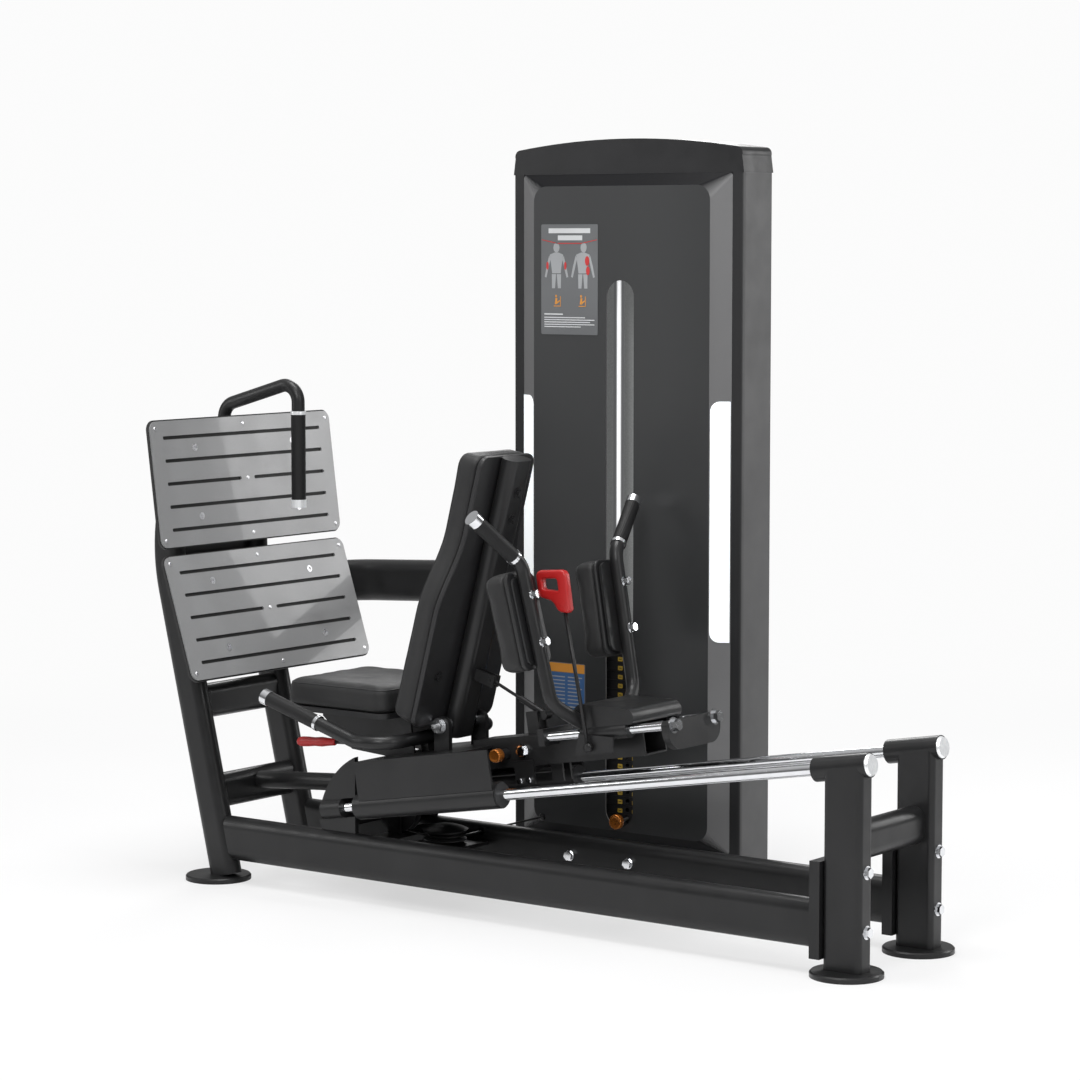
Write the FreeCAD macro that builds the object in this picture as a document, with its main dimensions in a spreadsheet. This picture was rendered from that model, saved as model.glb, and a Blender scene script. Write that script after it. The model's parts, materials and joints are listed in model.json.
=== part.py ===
import FreeCAD, Part
import math
import os
import Sketcher
from FreeCAD import Placement, Rotation, Vector

# Seated leg press with a selectorised weight tower.
#
# Frame: +X runs along the press from the footplates to the rear posts, +Y points from the
# press towards the weight tower and +Z is up.  The origin is on the floor, under the centre
# of the machine's overall box.  Lengths are millimetres.
#
# Places along the press are given from the rear feet (negative x is towards the footplates)
# and across it from the press centreline, then moved into the machine's frame by at().

doc = FreeCAD.newDocument("leg_press")
sheet = doc.addObject("Spreadsheet::Sheet", "dims")

SIZES = {
    # where the press sits in the machine's frame
    "rear_feet_x": 904.68,
    "press_centre_y": -100.75,
    # base frame
    "frame_length": 1680.0,
    "rail_spacing": 284.0,
    "oval_height": 100.0,
    "oval_width": 50.0,
    "tube_wall": 3.0,
    "foot_diameter": 150.0,
    "foot_thickness": 12.0,
    "base_tube_z": 100.0,
    "upright_depth": 80.0,
    "upright_width": 45.0,
    "post_depth": 88.0,
    "post_width": 50.0,
    "post_radius": 12.0,
    "flange_thickness": 12.0,
    "flange_width": 68.0,
    "flange_height": 198.0,
    # guide rails
    "guide_rail_diameter": 25.0,
    "rail_slope": 9.52,
    "rail_height_at_rear_feet": 421.7,
    "socket_diameter": 50.0,
    "brace_diameter": 40.0,
    "rail_bush_diameter": 44.0,
    # footplates
    "plate_width": 617.0,
    "plate_height": 285.0,
    "sheet_thickness": 4.0,
    "backing_thickness": 6.0,
    "plate_corner": 20.0,
    "groove_width": 8.0,
    "groove_pitch": 52.0,
    "groove_margin": 39.0,
    # handles and grips
    "handle_diameter": 30.0,
    "grip_diameter": 33.0,
    "cap_diameter": 35.0,
    # weight tower
    "tower_offset_x": -903.0,
    "tower_front_y": 373.0,
    "tower_depth": 118.0,
    "tower_width": 629.0,
    "tower_opening_top": 1608.0,
    "tower_top": 1686.0,
    "bezel_width": 29.0,
    "cover_wall": 2.0,
    "shroud_bulge": 22.0,
    "shroud_slant": 45.0,
    "shroud_wall": 3.0,
    "shroud_bottom": 95.0,
    "slot_width": 75.0,
    "slot_bottom": 132.0,
    "slot_top": 1370.0,
    # weight stack
    "stack_rod_diameter": 25.0,
    "stack_rod_spacing": 120.0,
    "stack_bottom": 135.0,
    "plate_pitch": 20.5,
    "weight_thickness": 20.0,
    "weight_width": 300.0,
    "weight_depth": 96.0,
    "weight_count": 20.0,
    "stem_diameter": 28.0,
    "pulley_diameter": 110.0,
    "pulley_width": 22.0,
    "pulley_bore": 12.1,
    "axle_diameter": 12.0,
    # carriage
    "sleeve_diameter": 58.0,
    "sleeve_bore": 40.0,
    "flange_ring": 54.0,
    "sleeve_length": 398.0,
    "bushing_length": 60.0,
    "bushing_bore": 25.1,
    "beam_height": 66.0,
    "beam_width": 54.0,
    "deck_thickness": 6.0,
    "arm_width": 80.0,
    "arm_height": 66.0,
    "ear_spacing": 132.0,
    "ear_thickness": 12.0,
    "hinge_pin_diameter": 16.0,
    # seat and backrest
    "seat_width": 300.0,
    "seat_length": 300.0,
    "cushion_thickness": 60.0,
    "board_thickness": 12.0,
    "back_length": 625.0,
    "back_width_low": 290.0,
    "back_width_high": 200.0,
    "back_lean": 15.0,
    "spine_width": 80.0,
    "spine_depth": 40.0,
    # shoulder slider
    "short_rod_diameter": 20.0,
    "short_rod_spacing": 154.0,
    "slider_sleeve_diameter": 36.0,
    "slider_sleeve_length": 118.0,
    "pad_width": 98.0,
    "pad_height": 218.0,
    "pad_thickness": 55.0,
    "pad_back_thickness": 14.0,
    "pad_inset": 8.0,
    "shoulder_grip_reach": 163.0,
    "shoulder_bend": 45.0,
}

for row, (alias, value) in enumerate(SIZES.items(), start=1):
    sheet.set(f"A{row}", alias)
    sheet.set(f"B{row}", str(value))
    sheet.setAlias(f"B{row}", alias)
doc.recompute()


def size(alias):
    """A driving dimension, read back from the sheet."""
    return float(sheet.get(alias))


def at(x, y, z):
    """A point given from the rear feet, the press centreline and the floor."""
    return Vector(size("rear_feet_x") + x, size("press_centre_y") + y, z)


NODES = []


def publish(obj, label):
    """Names a finished piece: its label is its node's name."""
    obj.Label = label
    NODES.append(obj)
    return obj


# ---------------------------------------------------------------- directions and placements

SLOPE = math.radians(size("rail_slope"))
ALONG_RAIL = Vector(math.cos(SLOPE), 0, math.sin(SLOPE))
ABOVE_RAIL = Vector(-math.sin(SLOPE), 0, math.cos(SLOPE))
ACROSS = Vector(0, 1, 0)
HALF_SPACING = size("rail_spacing") / 2
SIDES = (-1, 1)


def rail_point(x, y=0.0, above=0.0):
    """The point of the rails' axis plane at x, moved square to the rails by above."""
    z = size("rail_height_at_rear_feet") + x * math.tan(SLOPE)
    return at(x, y, z) + ABOVE_RAIL * above


def lean(degrees):
    """Up along a piece that leans back towards the rear posts, and its rearward normal."""
    angle = math.radians(degrees)
    up = Vector(math.sin(angle), 0, math.cos(angle))
    rearward = Vector(math.cos(angle), 0, -math.sin(angle))
    return up, rearward


def axes(origin, x_axis, z_axis):
    """A placement whose local X and Z point along the given directions."""
    y_axis = z_axis.cross(x_axis)
    return Placement(origin, Rotation(x_axis, y_axis, z_axis, "ZXY"))


def along(start, end, x_hint):
    """A placement at start with local Z towards end and local X as near x_hint as it can be."""
    z_axis = (end - start).normalize()
    y_axis = z_axis.cross(x_hint).normalize()
    return axes(start, y_axis.cross(z_axis), z_axis)


# ---------------------------------------------------------------- sketches

def new_body(name, placement):
    body = doc.addObject("PartDesign::Body", name)
    body.Placement = placement
    return body


def new_sketch(body, name, role="XY_Plane", offset=0.0):
    sketch = body.newObject("Sketcher::SketchObject", name)
    plane = [f for f in body.Origin.OriginFeatures if f.Role == role][0]
    sketch.AttachmentSupport = [(plane, "")]
    sketch.MapMode = "FlatFace"
    sketch.AttachmentOffset = Placement(Vector(0, 0, offset), Rotation())
    return sketch


def bind(sketch, constraint, expression):
    """Adds a dimension to a sketch and ties it to the sheet."""
    index = sketch.addConstraint(constraint)
    sketch.setExpression(f"Constraints[{index}]", expression)


def less(alias, inset):
    """The value and the expression of a size, less twice an inset."""
    if inset is None:
        return size(alias), f"dims.{alias}"
    return size(alias) - 2 * size(inset), f"dims.{alias} - 2 * dims.{inset}"


def circle(sketch, alias, centre=(0, 0), inset=None):
    diameter, expression = less(alias, inset)
    index = sketch.addGeometry(Part.Circle(Vector(*centre, 0), Vector(0, 0, 1), diameter / 2))
    bind(sketch, Sketcher.Constraint("Diameter", index, diameter), expression)


def oval(sketch, long_alias, short_alias, inset=None):
    """A flat-sided oval about the sketch's origin, long along its X."""
    long_side, long_expression = less(long_alias, inset)
    short_side, short_expression = less(short_alias, inset)
    radius = short_side / 2
    reach = (long_side - short_side) / 2
    up = Vector(0, 0, 1)
    quarter = math.pi / 2
    right = Part.ArcOfCircle(Part.Circle(Vector(reach, 0, 0), up, radius), -quarter, quarter)
    left = Part.ArcOfCircle(Part.Circle(Vector(-reach, 0, 0), up, radius), quarter, 3 * quarter)
    top = Part.LineSegment(Vector(reach, radius, 0), Vector(-reach, radius, 0))
    bottom = Part.LineSegment(Vector(-reach, -radius, 0), Vector(reach, -radius, 0))
    r, t, l, b = sketch.addGeometry([right, top, left, bottom])
    for first, second in ((r, t), (t, l), (l, b), (b, r)):
        sketch.addConstraint(Sketcher.Constraint("Tangent", first, 2, second, 1))
    sketch.addConstraint(Sketcher.Constraint("Equal", r, l))
    sketch.addConstraint(Sketcher.Constraint("Symmetric", r, 3, l, 3, -1, 1))
    sketch.addConstraint(Sketcher.Constraint("Horizontal", t))
    bind(sketch, Sketcher.Constraint("Diameter", r, short_side), short_expression)
    bind(sketch, Sketcher.Constraint("DistanceX", l, 3, r, 3, long_side - short_side),
         f"({long_expression}) - ({short_expression})")


def outline(sketch, points):
    """A closed outline of straight lines, and of arcs where an entry gives a point on the way."""
    edges = []
    previous = points[-1][-1] if isinstance(points[-1], list) else points[-1]
    for entry in points:
        if isinstance(entry, list):
            middle, end = entry
            edges.append(Part.Arc(Vector(*previous, 0), Vector(*middle, 0), Vector(*end, 0)))
            previous = end
        else:
            edges.append(Part.LineSegment(Vector(*previous, 0), Vector(*entry, 0)))
            previous = entry
    sketch.addGeometry(edges)


def pad(body, sketch, length, symmetric=False):
    """Extrudes a sketch by a number or by a size of the sheet."""
    feature = body.newObject("PartDesign::Pad", body.Name + "_pad")
    feature.Profile = sketch
    if isinstance(length, str):
        feature.setExpression("Length", f"dims.{length}")
    else:
        feature.Length = length
    feature.SideType = "Symmetric" if symmetric else "One side"
    return feature


def pocket(body, sketch, depth, reversed_cut=False):
    """Cuts a sketch into the body and makes sure that something was removed."""
    doc.recompute()
    before = body.Shape.Volume
    feature = body.newObject("PartDesign::Pocket", body.Name + "_pocket")
    feature.Profile = sketch
    feature.Length = depth
    feature.Reversed = reversed_cut
    doc.recompute()
    if body.Shape.Volume >= before - 1e-3:
        raise RuntimeError(f"{body.Name}: a pocket removed nothing")
    return feature


# ---------------------------------------------------------------- general pieces

def bar(name, start, end, draw, x_hint=Vector(0, 0, 1)):
    """A straight piece between two points; draw(sketch) gives its section."""
    body = new_body(name, along(start, end, x_hint))
    sketch = new_sketch(body, name + "_section")
    draw(sketch)
    pad(body, sketch, (end - start).Length)
    return body


def oval_tube(name, start, end, long_alias="oval_height", short_alias="oval_width",
              x_hint=Vector(0, 0, 1)):
    """A hollow flat-sided oval tube, its long side towards x_hint."""
    def section(sketch):
        oval(sketch, long_alias, short_alias)
        oval(sketch, long_alias, short_alias, inset="tube_wall")
    return bar(name, start, end, section, x_hint)


def round_bar(name, start, end, alias, bore=None):
    def section(sketch):
        circle(sketch, alias)
        if bore:
            circle(sketch, bore)
    return bar(name, start, end, section, Vector(0.1, 0.9, 0.4))


def box(name, centre, width, depth, height, placement=None):
    """A block about centre; with a placement, centre and sides are in its axes."""
    block = doc.addObject("Part::Box", name)
    block.Length = width
    block.Width = depth
    block.Height = height
    corner = Placement(centre - Vector(width / 2, depth / 2, height / 2), Rotation())
    block.Placement = placement.multiply(corner) if placement else corner
    return block


def cylinder(name, start, end, alias=None, radius=None):
    """A plain round piece between two points."""
    piece = doc.addObject("Part::Cylinder", name)
    if alias:
        piece.setExpression("Radius", f"dims.{alias} / 2")
    else:
        piece.Radius = radius
    piece.Height = (end - start).Length
    piece.Placement = along(start, end, Vector(0.1, 0.9, 0.4))
    return piece


def plate(name, placement, points, thickness):
    """A flat plate whose outline is drawn in the placement's XY plane."""
    body = new_body(name, placement)
    sketch = new_sketch(body, name + "_outline")
    outline(sketch, points)
    pad(body, sketch, thickness, symmetric=True)
    return body


def group(name, pieces):
    compound = doc.addObject("Part::Compound", name)
    compound.Links = pieces
    return compound


def fuse(name, pieces):
    joined = doc.addObject("Part::MultiFuse", name)
    joined.Shapes = pieces
    joined.Refine = True
    return joined


def cut(name, base, tool):
    result = doc.addObject("Part::Cut", name)
    result.Base = base
    result.Tool = tool
    return result


def rounded_points(width, height, radius, centre=(0, 0)):
    """A rounded rectangle as an outline."""
    points = []
    nick = radius * (1 - math.sqrt(0.5))
    for sx, sy in ((1, -1), (1, 1), (-1, 1), (-1, -1)):
        corner = Vector(centre[0] + sx * width / 2, centre[1] + sy * height / 2, 0)
        before = Vector(-sx * radius, 0, 0) if sx * sy < 0 else Vector(0, -sy * radius, 0)
        after = Vector(0, -sy * radius, 0) if sx * sy < 0 else Vector(-sx * radius, 0, 0)
        first, last = corner + before, corner + after
        middle = corner - Vector(sx * nick, sy * nick, 0)
        points.append((first.x, first.y))
        points.append([(middle.x, middle.y), (last.x, last.y)])
    return points


def bent_path(name, corners, bend):
    """A wire through the corners, with each inner corner rounded to the bend radius."""
    edges = []
    previous = corners[0]
    for i in range(1, len(corners) - 1):
        corner = corners[i]
        back = (corners[i - 1] - corner).normalize()
        ahead = (corners[i + 1] - corner).normalize()
        half = back.getAngle(ahead) / 2
        trim = bend / math.tan(half)
        first = corner + back * trim
        last = corner + ahead * trim
        towards_centre = (back + ahead).normalize()
        middle = corner + towards_centre * (bend / math.sin(half) - bend)
        edges.append(Part.makeLine(previous, first))
        edges.append(Part.Arc(first, middle, last).toShape())
        previous = last
    edges.append(Part.makeLine(previous, corners[-1]))
    path = doc.addObject("Part::Feature", name)
    path.Shape = Part.Wire(edges)
    return path


def sweep(name, corners, bend, sections):
    """Sweeps the first section along bent corners, less the second one when there are two."""
    path = bent_path(name + "_path", corners, bend)
    spine = (path, [f"Edge{i + 1}" for i in range(len(path.Shape.Edges))])
    solids = []
    for number, section in enumerate(sections):
        swept = doc.addObject("Part::Sweep", f"{name}_sweep_{number}")
        swept.Sections = [section]
        swept.Spine = spine
        swept.Solid = True
        swept.Frenet = False
        solids.append(swept)
    if len(solids) == 1:
        return solids[0]
    return cut(name, solids[0], solids[1])


def bent_round(name, corners, bend, alias, inset="tube_wall"):
    """A bent round tube."""
    placement = along(corners[0], corners[1], Vector(0.1, 0.9, 0.4))
    sections = []
    for number, wall in enumerate((None, inset)):
        ring = doc.addObject("Part::Circle", f"{name}_ring_{number}")
        ring.setExpression("Radius", "(" + less(alias, wall)[1] + ") / 2")
        ring.Placement = placement
        sections.append(ring)
    return sweep(name, corners, bend, sections)


def bent_oval(name, corners, bend, long_alias, short_alias, x_hint):
    """A bent flat-sided oval tube."""
    placement = along(corners[0], corners[1], x_hint)
    sections = []
    for number, wall in enumerate((None, "tube_wall")):
        section = doc.addObject("Sketcher::SketchObject", f"{name}_section_{number}")
        section.Placement = placement
        oval(section, long_alias, short_alias, inset=wall)
        sections.append(section)
    return sweep(name, corners, bend, sections)


def grip_set(name, root, tip):
    """A rubber sleeve, and the chrome ring and cap at its ends, around a handle's end."""
    direction = (tip - root).normalize()
    ring_length, cap_length = 8, 14
    sleeve = round_bar(name + "_sleeve", root + direction * ring_length,
                       tip - direction * cap_length, "grip_diameter", "handle_diameter")
    ring = round_bar(name + "_ring", root, root + direction * ring_length,
                     "cap_diameter", "handle_diameter")
    cap_start = tip - direction * cap_length
    cup = round_bar(name + "_cup", cap_start, tip, "cap_diameter", "handle_diameter")
    lid = cylinder(name + "_lid", tip, tip + direction * 4, "cap_diameter")
    return sleeve, ring, fuse(name + "_cap", [cup, lid])


def hex_bolt(name, place, direction, across=19.0, head=8.0, washer=28.0):
    """A hexagon head on a washer, standing on a face at place."""
    direction = direction.normalize()
    disc = cylinder(name + "_washer", place, place + direction * 2.5, radius=washer / 2)
    prism = doc.addObject("Part::Prism", name + "_head")
    prism.Polygon = 6
    prism.Circumradius = across / math.sqrt(3)
    prism.Height = head
    prism.Placement = along(place + direction * 2.5, place + direction * 10, Vector(0.1, 0.9, 0.4))
    return fuse(name, [disc, prism])


# ---------------------------------------------------------------- base frame

BASE_Z = size("base_tube_z")
HALF_OVAL = size("oval_width") / 2
FRONT_X = -size("frame_length")
FOOT_TOP = size("foot_thickness")
TOWER_X = size("tower_offset_x")
TOWER_Y = size("tower_front_y") + size("tower_depth") / 2
DOWN_RUN_X = -1120.0
CABLE_Z = 132.0


def upright_x(z):
    """The middle of a front upright at height z, below its bend."""
    return -1652 - 0.238 * z


def build_feet():
    feet = []
    places = [(x, side * HALF_SPACING) for x in (0, FRONT_X) for side in SIDES]
    places += [(TOWER_X + side * 250, TOWER_Y) for side in SIDES]
    for number, (x, y) in enumerate(places):
        name = f"foot_{number}"
        body = new_body(name, Placement(at(x, y, 0), Rotation()))
        sketch = new_sketch(body, name + "_section")
        circle(sketch, "foot_diameter")
        disc = pad(body, sketch, "foot_thickness")
        doc.recompute()
        chamfer = body.newObject("PartDesign::Chamfer", name + "_chamfer")
        rim = [f"Edge{i + 1}" for i, edge in enumerate(disc.Shape.Edges)
               if edge.Closed and edge.CenterOfMass.z > FOOT_TOP / 2]
        chamfer.Base = (disc, rim)
        chamfer.Size = 3
        feet.append(body)
    publish(group("feet", feet), "foot_discs")


def cable_pass():
    """The straight line on which the cable runs under the shroud and through a base rail."""
    return at(DOWN_RUN_X, 100, CABLE_Z), at(DOWN_RUN_X, 360, CABLE_Z)


def build_base_rails():
    end_x = -size("post_depth") / 2 - 2 * size("flange_thickness")
    up = Vector(upright_x(1) - upright_x(0), 0, 1).normalize()
    forward = Vector(up.z, 0, -up.x)
    pass_start, pass_end = cable_pass()
    rails = []
    for side in SIDES:
        y = side * HALF_SPACING
        tube = oval_tube(f"base_rail_{side}", at(upright_x(BASE_Z), y, BASE_Z),
                         at(end_x, y, BASE_Z))
        upright = box(f"base_rail_trim_{side}", Vector(0, 0, 0), size("upright_depth") + 0.2, 100,
                      300, axes(at(upright_x(BASE_Z), y, BASE_Z), forward, up))
        hole = cylinder(f"cable_hole_{side}", pass_start, pass_end, radius=9)
        rails.append(cut(f"base_rail_cut_{side}", tube, fuse(f"base_rail_tools_{side}",
                                                             [upright, hole])))
    publish(group("rails_at_the_base", rails), "base_rails")


def build_front_uprights():
    uprights = []
    for side in SIDES:
        y = side * HALF_SPACING
        corners = [at(upright_x(FOOT_TOP), y, FOOT_TOP), at(upright_x(780), y, 780),
                   at(-1768, y, 975)]
        tube = bent_oval(f"upright_{side}", corners, 400, "upright_depth", "upright_width",
                         Vector(1, 0, 0))
        floor = box(f"upright_floor_{side}", at(-1652, y, -100 + FOOT_TOP), 300, 100, 200)
        uprights.append(cut(f"upright_cut_{side}", tube, floor))
    publish(group("uprights_in_front", uprights), "front_uprights")


def plate_frame(centre_x, centre_z, lean_degrees):
    """Local X across the plate, Y up it, Z out of its tread, at the tread's middle."""
    angle = math.radians(lean_degrees)
    outward = Vector(math.cos(angle), 0, math.sin(angle))
    return axes(at(centre_x, 0, centre_z), ACROSS, outward)


UPPER_LEAN, LOWER_LEAN = 7.5, 18.0
UPPER_PLATE = plate_frame(-1706, 914, UPPER_LEAN)
LOWER_PLATE = plate_frame(-1641, 617, LOWER_LEAN)
TOP_CROSSBAR = (-1778, 930)
PLATE_STACK = size("sheet_thickness") + size("backing_thickness")


def build_footplate(number, place, label):
    """A tread sheet whose cross grooves show the dark backing."""
    width, height = size("plate_width"), size("plate_height")
    body = new_body(f"tread_{number}", place)
    sketch = new_sketch(body, f"tread_outline_{number}")
    outline(sketch, rounded_points(width, height, size("plate_corner")))
    sheet_pad = pad(body, sketch, "sheet_thickness")
    sheet_pad.Reversed = True
    grooves = new_sketch(body, f"tread_grooves_{number}")
    reach = width / 2 - size("groove_margin")
    for row in range(-2, 3):
        y = row * size("groove_pitch")
        stretches = [(-reach, -22), (22, reach)] if row == 0 else [(-reach, reach)]
        for left, right in stretches:
            outline(grooves, rounded_points(right - left, size("groove_width"), 3.5,
                                            ((left + right) / 2, y)))
    for side in SIDES:
        for row in (-1, 1):
            centre = Vector(side * 168, row * 78, 0)
            grooves.addGeometry(Part.Circle(centre, Vector(0, 0, 1), 8.5))
    pocket(body, grooves, 20)
    publish(body, label)


def build_footplate_backs():
    backs = []
    width, height = size("plate_width") + 6, size("plate_height") + 6
    for number, place in enumerate((UPPER_PLATE, LOWER_PLATE)):
        shift = Placement(Vector(0, 0, -size("sheet_thickness") - size("backing_thickness") / 2),
                          Rotation())
        backs.append(plate(f"backing_{number}", place.multiply(shift),
                           rounded_points(width, height, size("plate_corner") + 3),
                           size("backing_thickness")))
    publish(group("backings", backs), "footplate_backs")


def build_footplate_screws():
    """Button screws around each tread and the countersunk bolts that hold it to its arms."""
    screws = []
    half_w, half_h = size("plate_width") / 2 - 16, size("plate_height") / 2 - 16
    small = [(sx * half_w, sy * half_h) for sx in (-1, 0, 1) for sy in SIDES] + [(0, 0)]
    large = [(sx * 168, sy * 78) for sx in SIDES for sy in SIDES]
    for number, place in enumerate((UPPER_PLATE, LOWER_PLATE)):
        for index, (x, y) in enumerate(small):
            head = doc.addObject("Part::Cone", f"screw_{number}_{index}")
            head.Radius1, head.Radius2, head.Height = 4.5, 3.0, 1.8
            head.Placement = place.multiply(Placement(Vector(x, y, 0), Rotation()))
            screws.append(head)
        for index, (x, y) in enumerate(large):
            head = doc.addObject("Part::Cylinder", f"bolt_{number}_{index}")
            head.Radius, head.Height = 8.2, size("sheet_thickness")
            below = Vector(x, y, -size("sheet_thickness"))
            head.Placement = place.multiply(Placement(below, Rotation()))
            socket = doc.addObject("Part::Prism", f"bolt_socket_{number}_{index}")
            socket.Circumradius, socket.Height = 4.0, 3.0
            socket.Placement = place.multiply(Placement(Vector(x, y, -2), Rotation()))
            screws.append(cut(f"socket_bolt_{number}_{index}", head, socket))
    publish(group("screws", screws), "footplate_screws")


def build_front_crossbars():
    """Cross tubes between the uprights, and the arms that carry the footplates."""
    pieces = []
    inner = HALF_SPACING - size("upright_width") / 2
    places = [(upright_x(z), z) for z in (199, 402, 760)] + [TOP_CROSSBAR]
    for number, (x, z) in enumerate(places):
        pieces.append(oval_tube(f"crossbar_{number}", at(x, -inner, z), at(x, inner, z),
                                "upright_depth", "upright_width"))
    arm_height = 46
    for number, (place, rows, angle) in enumerate(((UPPER_PLATE, (-85, 34), UPPER_LEAN),
                                                   (LOWER_PLATE, (-78, 70), LOWER_LEAN))):
        trim = arm_height / 2 * math.tan(math.radians(angle)) + 0.2
        for side in SIDES:
            for row in rows:
                face = place.multVec(Vector(side * 112, row, -PLATE_STACK)) - Vector(trim, 0, 0)
                back_x = at(TOP_CROSSBAR[0] if number == 0 else upright_x(face.z), 0, 0).x
                back = Vector(back_x, face.y, face.z)
                arm = box(f"arm_{number}_{side}_{row}", (face + back) / 2,
                          (face - back).Length, 14, arm_height)
                pieces.append(arm)
    publish(group("cross_members", pieces), "front_crossbars")


def build_frame_ends():
    """The rear posts with their sockets, cross beam, flange plates and bolts."""
    depth, flange = size("post_depth"), size("flange_thickness")
    posts, plates, bolts, sockets = [], [], [], []
    radius = size("socket_diameter") / 2
    for side in SIDES:
        y = side * HALF_SPACING
        body = new_body(f"post_{side}", Placement(at(0, y, FOOT_TOP), Rotation()))
        sketch = new_sketch(body, f"post_section_{side}")
        outline(sketch, rounded_points(depth, size("post_width"), size("post_radius")))
        wall = size("tube_wall")
        outline(sketch, rounded_points(depth - 2 * wall, size("post_width") - 2 * wall,
                                       size("post_radius") - wall))
        pad(body, sketch, 420)
        socket_start = rail_point(-74, y)
        socket_end = rail_point(50, y)
        hollow = cylinder(f"post_saddle_{side}", rail_point(-200, y), rail_point(200, y),
                          radius=radius)
        above = box(f"post_above_{side}", Vector(0, 0, 100), 400, 100, 200,
                    axes(rail_point(0, y), ALONG_RAIL, ABOVE_RAIL))
        posts.append(cut(f"post_cut_{side}", body, fuse(f"post_tools_{side}", [hollow, above])))
        for number in range(2):
            x = -depth / 2 - flange * (number + 0.5)
            plates.append(box(f"flange_{side}_{number}", at(x, y, 33 + size("flange_height") / 2),
                              flange, size("flange_width"), size("flange_height")))
        for z in (94, 214):
            bolts.append(hex_bolt(f"post_bolt_{side}_{z}", at(depth / 2, y, z), Vector(1, 0, 0)))
        sockets.append(round_bar(f"socket_{side}", socket_start, socket_end, "socket_diameter",
                                 "guide_rail_diameter"))
    for x in (-870, -712):
        for side in SIDES:
            bolts.append(hex_bolt(f"base_bolt_{x}_{side}", at(x, side * (HALF_SPACING - HALF_OVAL), 106),
                                  Vector(0, -side, 0), washer=24))
    inner = HALF_SPACING - size("post_width") / 2
    publish(group("posts_at_the_rear", posts), "rear_posts")
    publish(oval_tube("beam_at_the_rear", at(0, -inner, 268), at(0, inner, 268),
                      "upright_depth", "oval_width"), "rear_crossbeam")
    publish(group("flanges", plates), "flange_plates")
    publish(group("bolts_of_the_frame", bolts), "frame_bolts")
    publish(group("sockets", sockets), "rail_sockets")


GUSSET_FRONT = -1371
GUSSET_REAR = -1266
RAIL_START = -1356


def build_rails():
    rails = [round_bar(f"rail_{side}", rail_point(RAIL_START, side * HALF_SPACING),
                       rail_point(46, side * HALF_SPACING), "guide_rail_diameter")
             for side in SIDES]
    publish(group("rails_for_the_carriage", rails), "guide_rails")


def build_gussets():
    """Curved plates on the base rails that carry the rails' low ends, their tie and brace."""
    pieces = []
    top = BASE_Z + size("oval_height") / 2
    rail_spaces = []
    for side in SIDES:
        y = side * HALF_SPACING
        origin = at(0, y, 0)
        place = axes(origin, Vector(1, 0, 0), Vector(0, -1, 0))
        corners = [(GUSSET_REAR, top), (GUSSET_REAR, 321),
                   [(-1340, 258), (GUSSET_FRONT, 172)], (-1362, top)]
        flat = plate(f"gusset_{side}", place, corners, 12)
        bore = cylinder(f"gusset_bore_{side}", rail_point(-1400, y), rail_point(-1200, y),
                        radius=22)
        bush = round_bar(f"rail_bush_{side}", rail_point(RAIL_START, y), rail_point(-1300, y),
                         "rail_bush_diameter", "guide_rail_diameter")
        pieces += [cut(f"gusset_cut_{side}", flat, bore), bush]
        rail_spaces.append(cylinder(f"tie_bore_{side}", rail_point(-1400, y), rail_point(-1200, y),
                                    radius=22))
    inner = HALF_SPACING - 6
    tie = box("gusset_tie", at(-1330, 0, top + 55), 12, 2 * inner, 106)
    pieces.append(cut("gusset_tie_cut", tie, fuse("tie_bores", rail_spaces)))
    brace_start = at(upright_x(212) + size("upright_width") / 2 + 6, 0, 212)
    pieces.append(cylinder("frame_brace", brace_start, at(-1336, 0, 236), "brace_diameter"))
    publish(group("gussets", pieces), "rail_gussets")


def build_link_beam():
    """The bent tube that ties the far front upright to the tower's side."""
    side_y = HALF_SPACING + size("upright_width") / 2
    tower_side = TOWER_X - size("tower_width") / 2
    corners = [at(upright_x(625), side_y + 4.5, 625), at(upright_x(625), 380, 640),
               at(tower_side - 16, TOWER_Y, 664)]
    beam = bent_oval("beam_tube", corners, 160, "oval_height", "oval_width", Vector(0, 0, 1))
    flange = box("beam_flange", at(tower_side - 4, TOWER_Y, 664), 8, 76, 136)
    neck = box("beam_neck", at(tower_side - 16, TOWER_Y, 664), 20, 42, 90)
    publish(fuse("beam_to_the_tower", [beam, neck, flange]), "link_beam")


def build_grab_handle():
    """The fixed handle that rises behind the upper footplate and hangs in front of it."""
    x, z = TOP_CROSSBAR
    root = at(x, 0, z + size("upright_depth") / 2 + 0.2)
    rise = at(x, 0, 1078)
    crown = at(-1552, 0, 1142)
    grip_top = at(-1552, 0, 1072)
    grip_tip = at(-1552, 0, 856)
    handle = bent_round("grab_tube", [root, rise, crown, grip_tip], 38, "handle_diameter")
    sleeve, ring, cap = grip_set("grab", grip_top, grip_tip)
    publish(handle, "grab_handle")
    publish(sleeve, "grab_grip")
    return [ring, cap]


def build_end_caps(more):
    """Chrome discs on the sockets' rear ends, with the trim of the fixed handle."""
    caps = list(more)
    for side in SIDES:
        start = rail_point(50, side * HALF_SPACING)
        disc = doc.addObject("Part::Cone", f"rail_cap_{side}")
        disc.Radius1, disc.Radius2, disc.Height = 23, 20, 6
        disc.Placement = along(start, start + ALONG_RAIL, Vector(0, 0, 1))
        caps.append(disc)
    publish(group("caps_of_the_frame", caps), "end_caps")


# ---------------------------------------------------------------- weight tower

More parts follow.
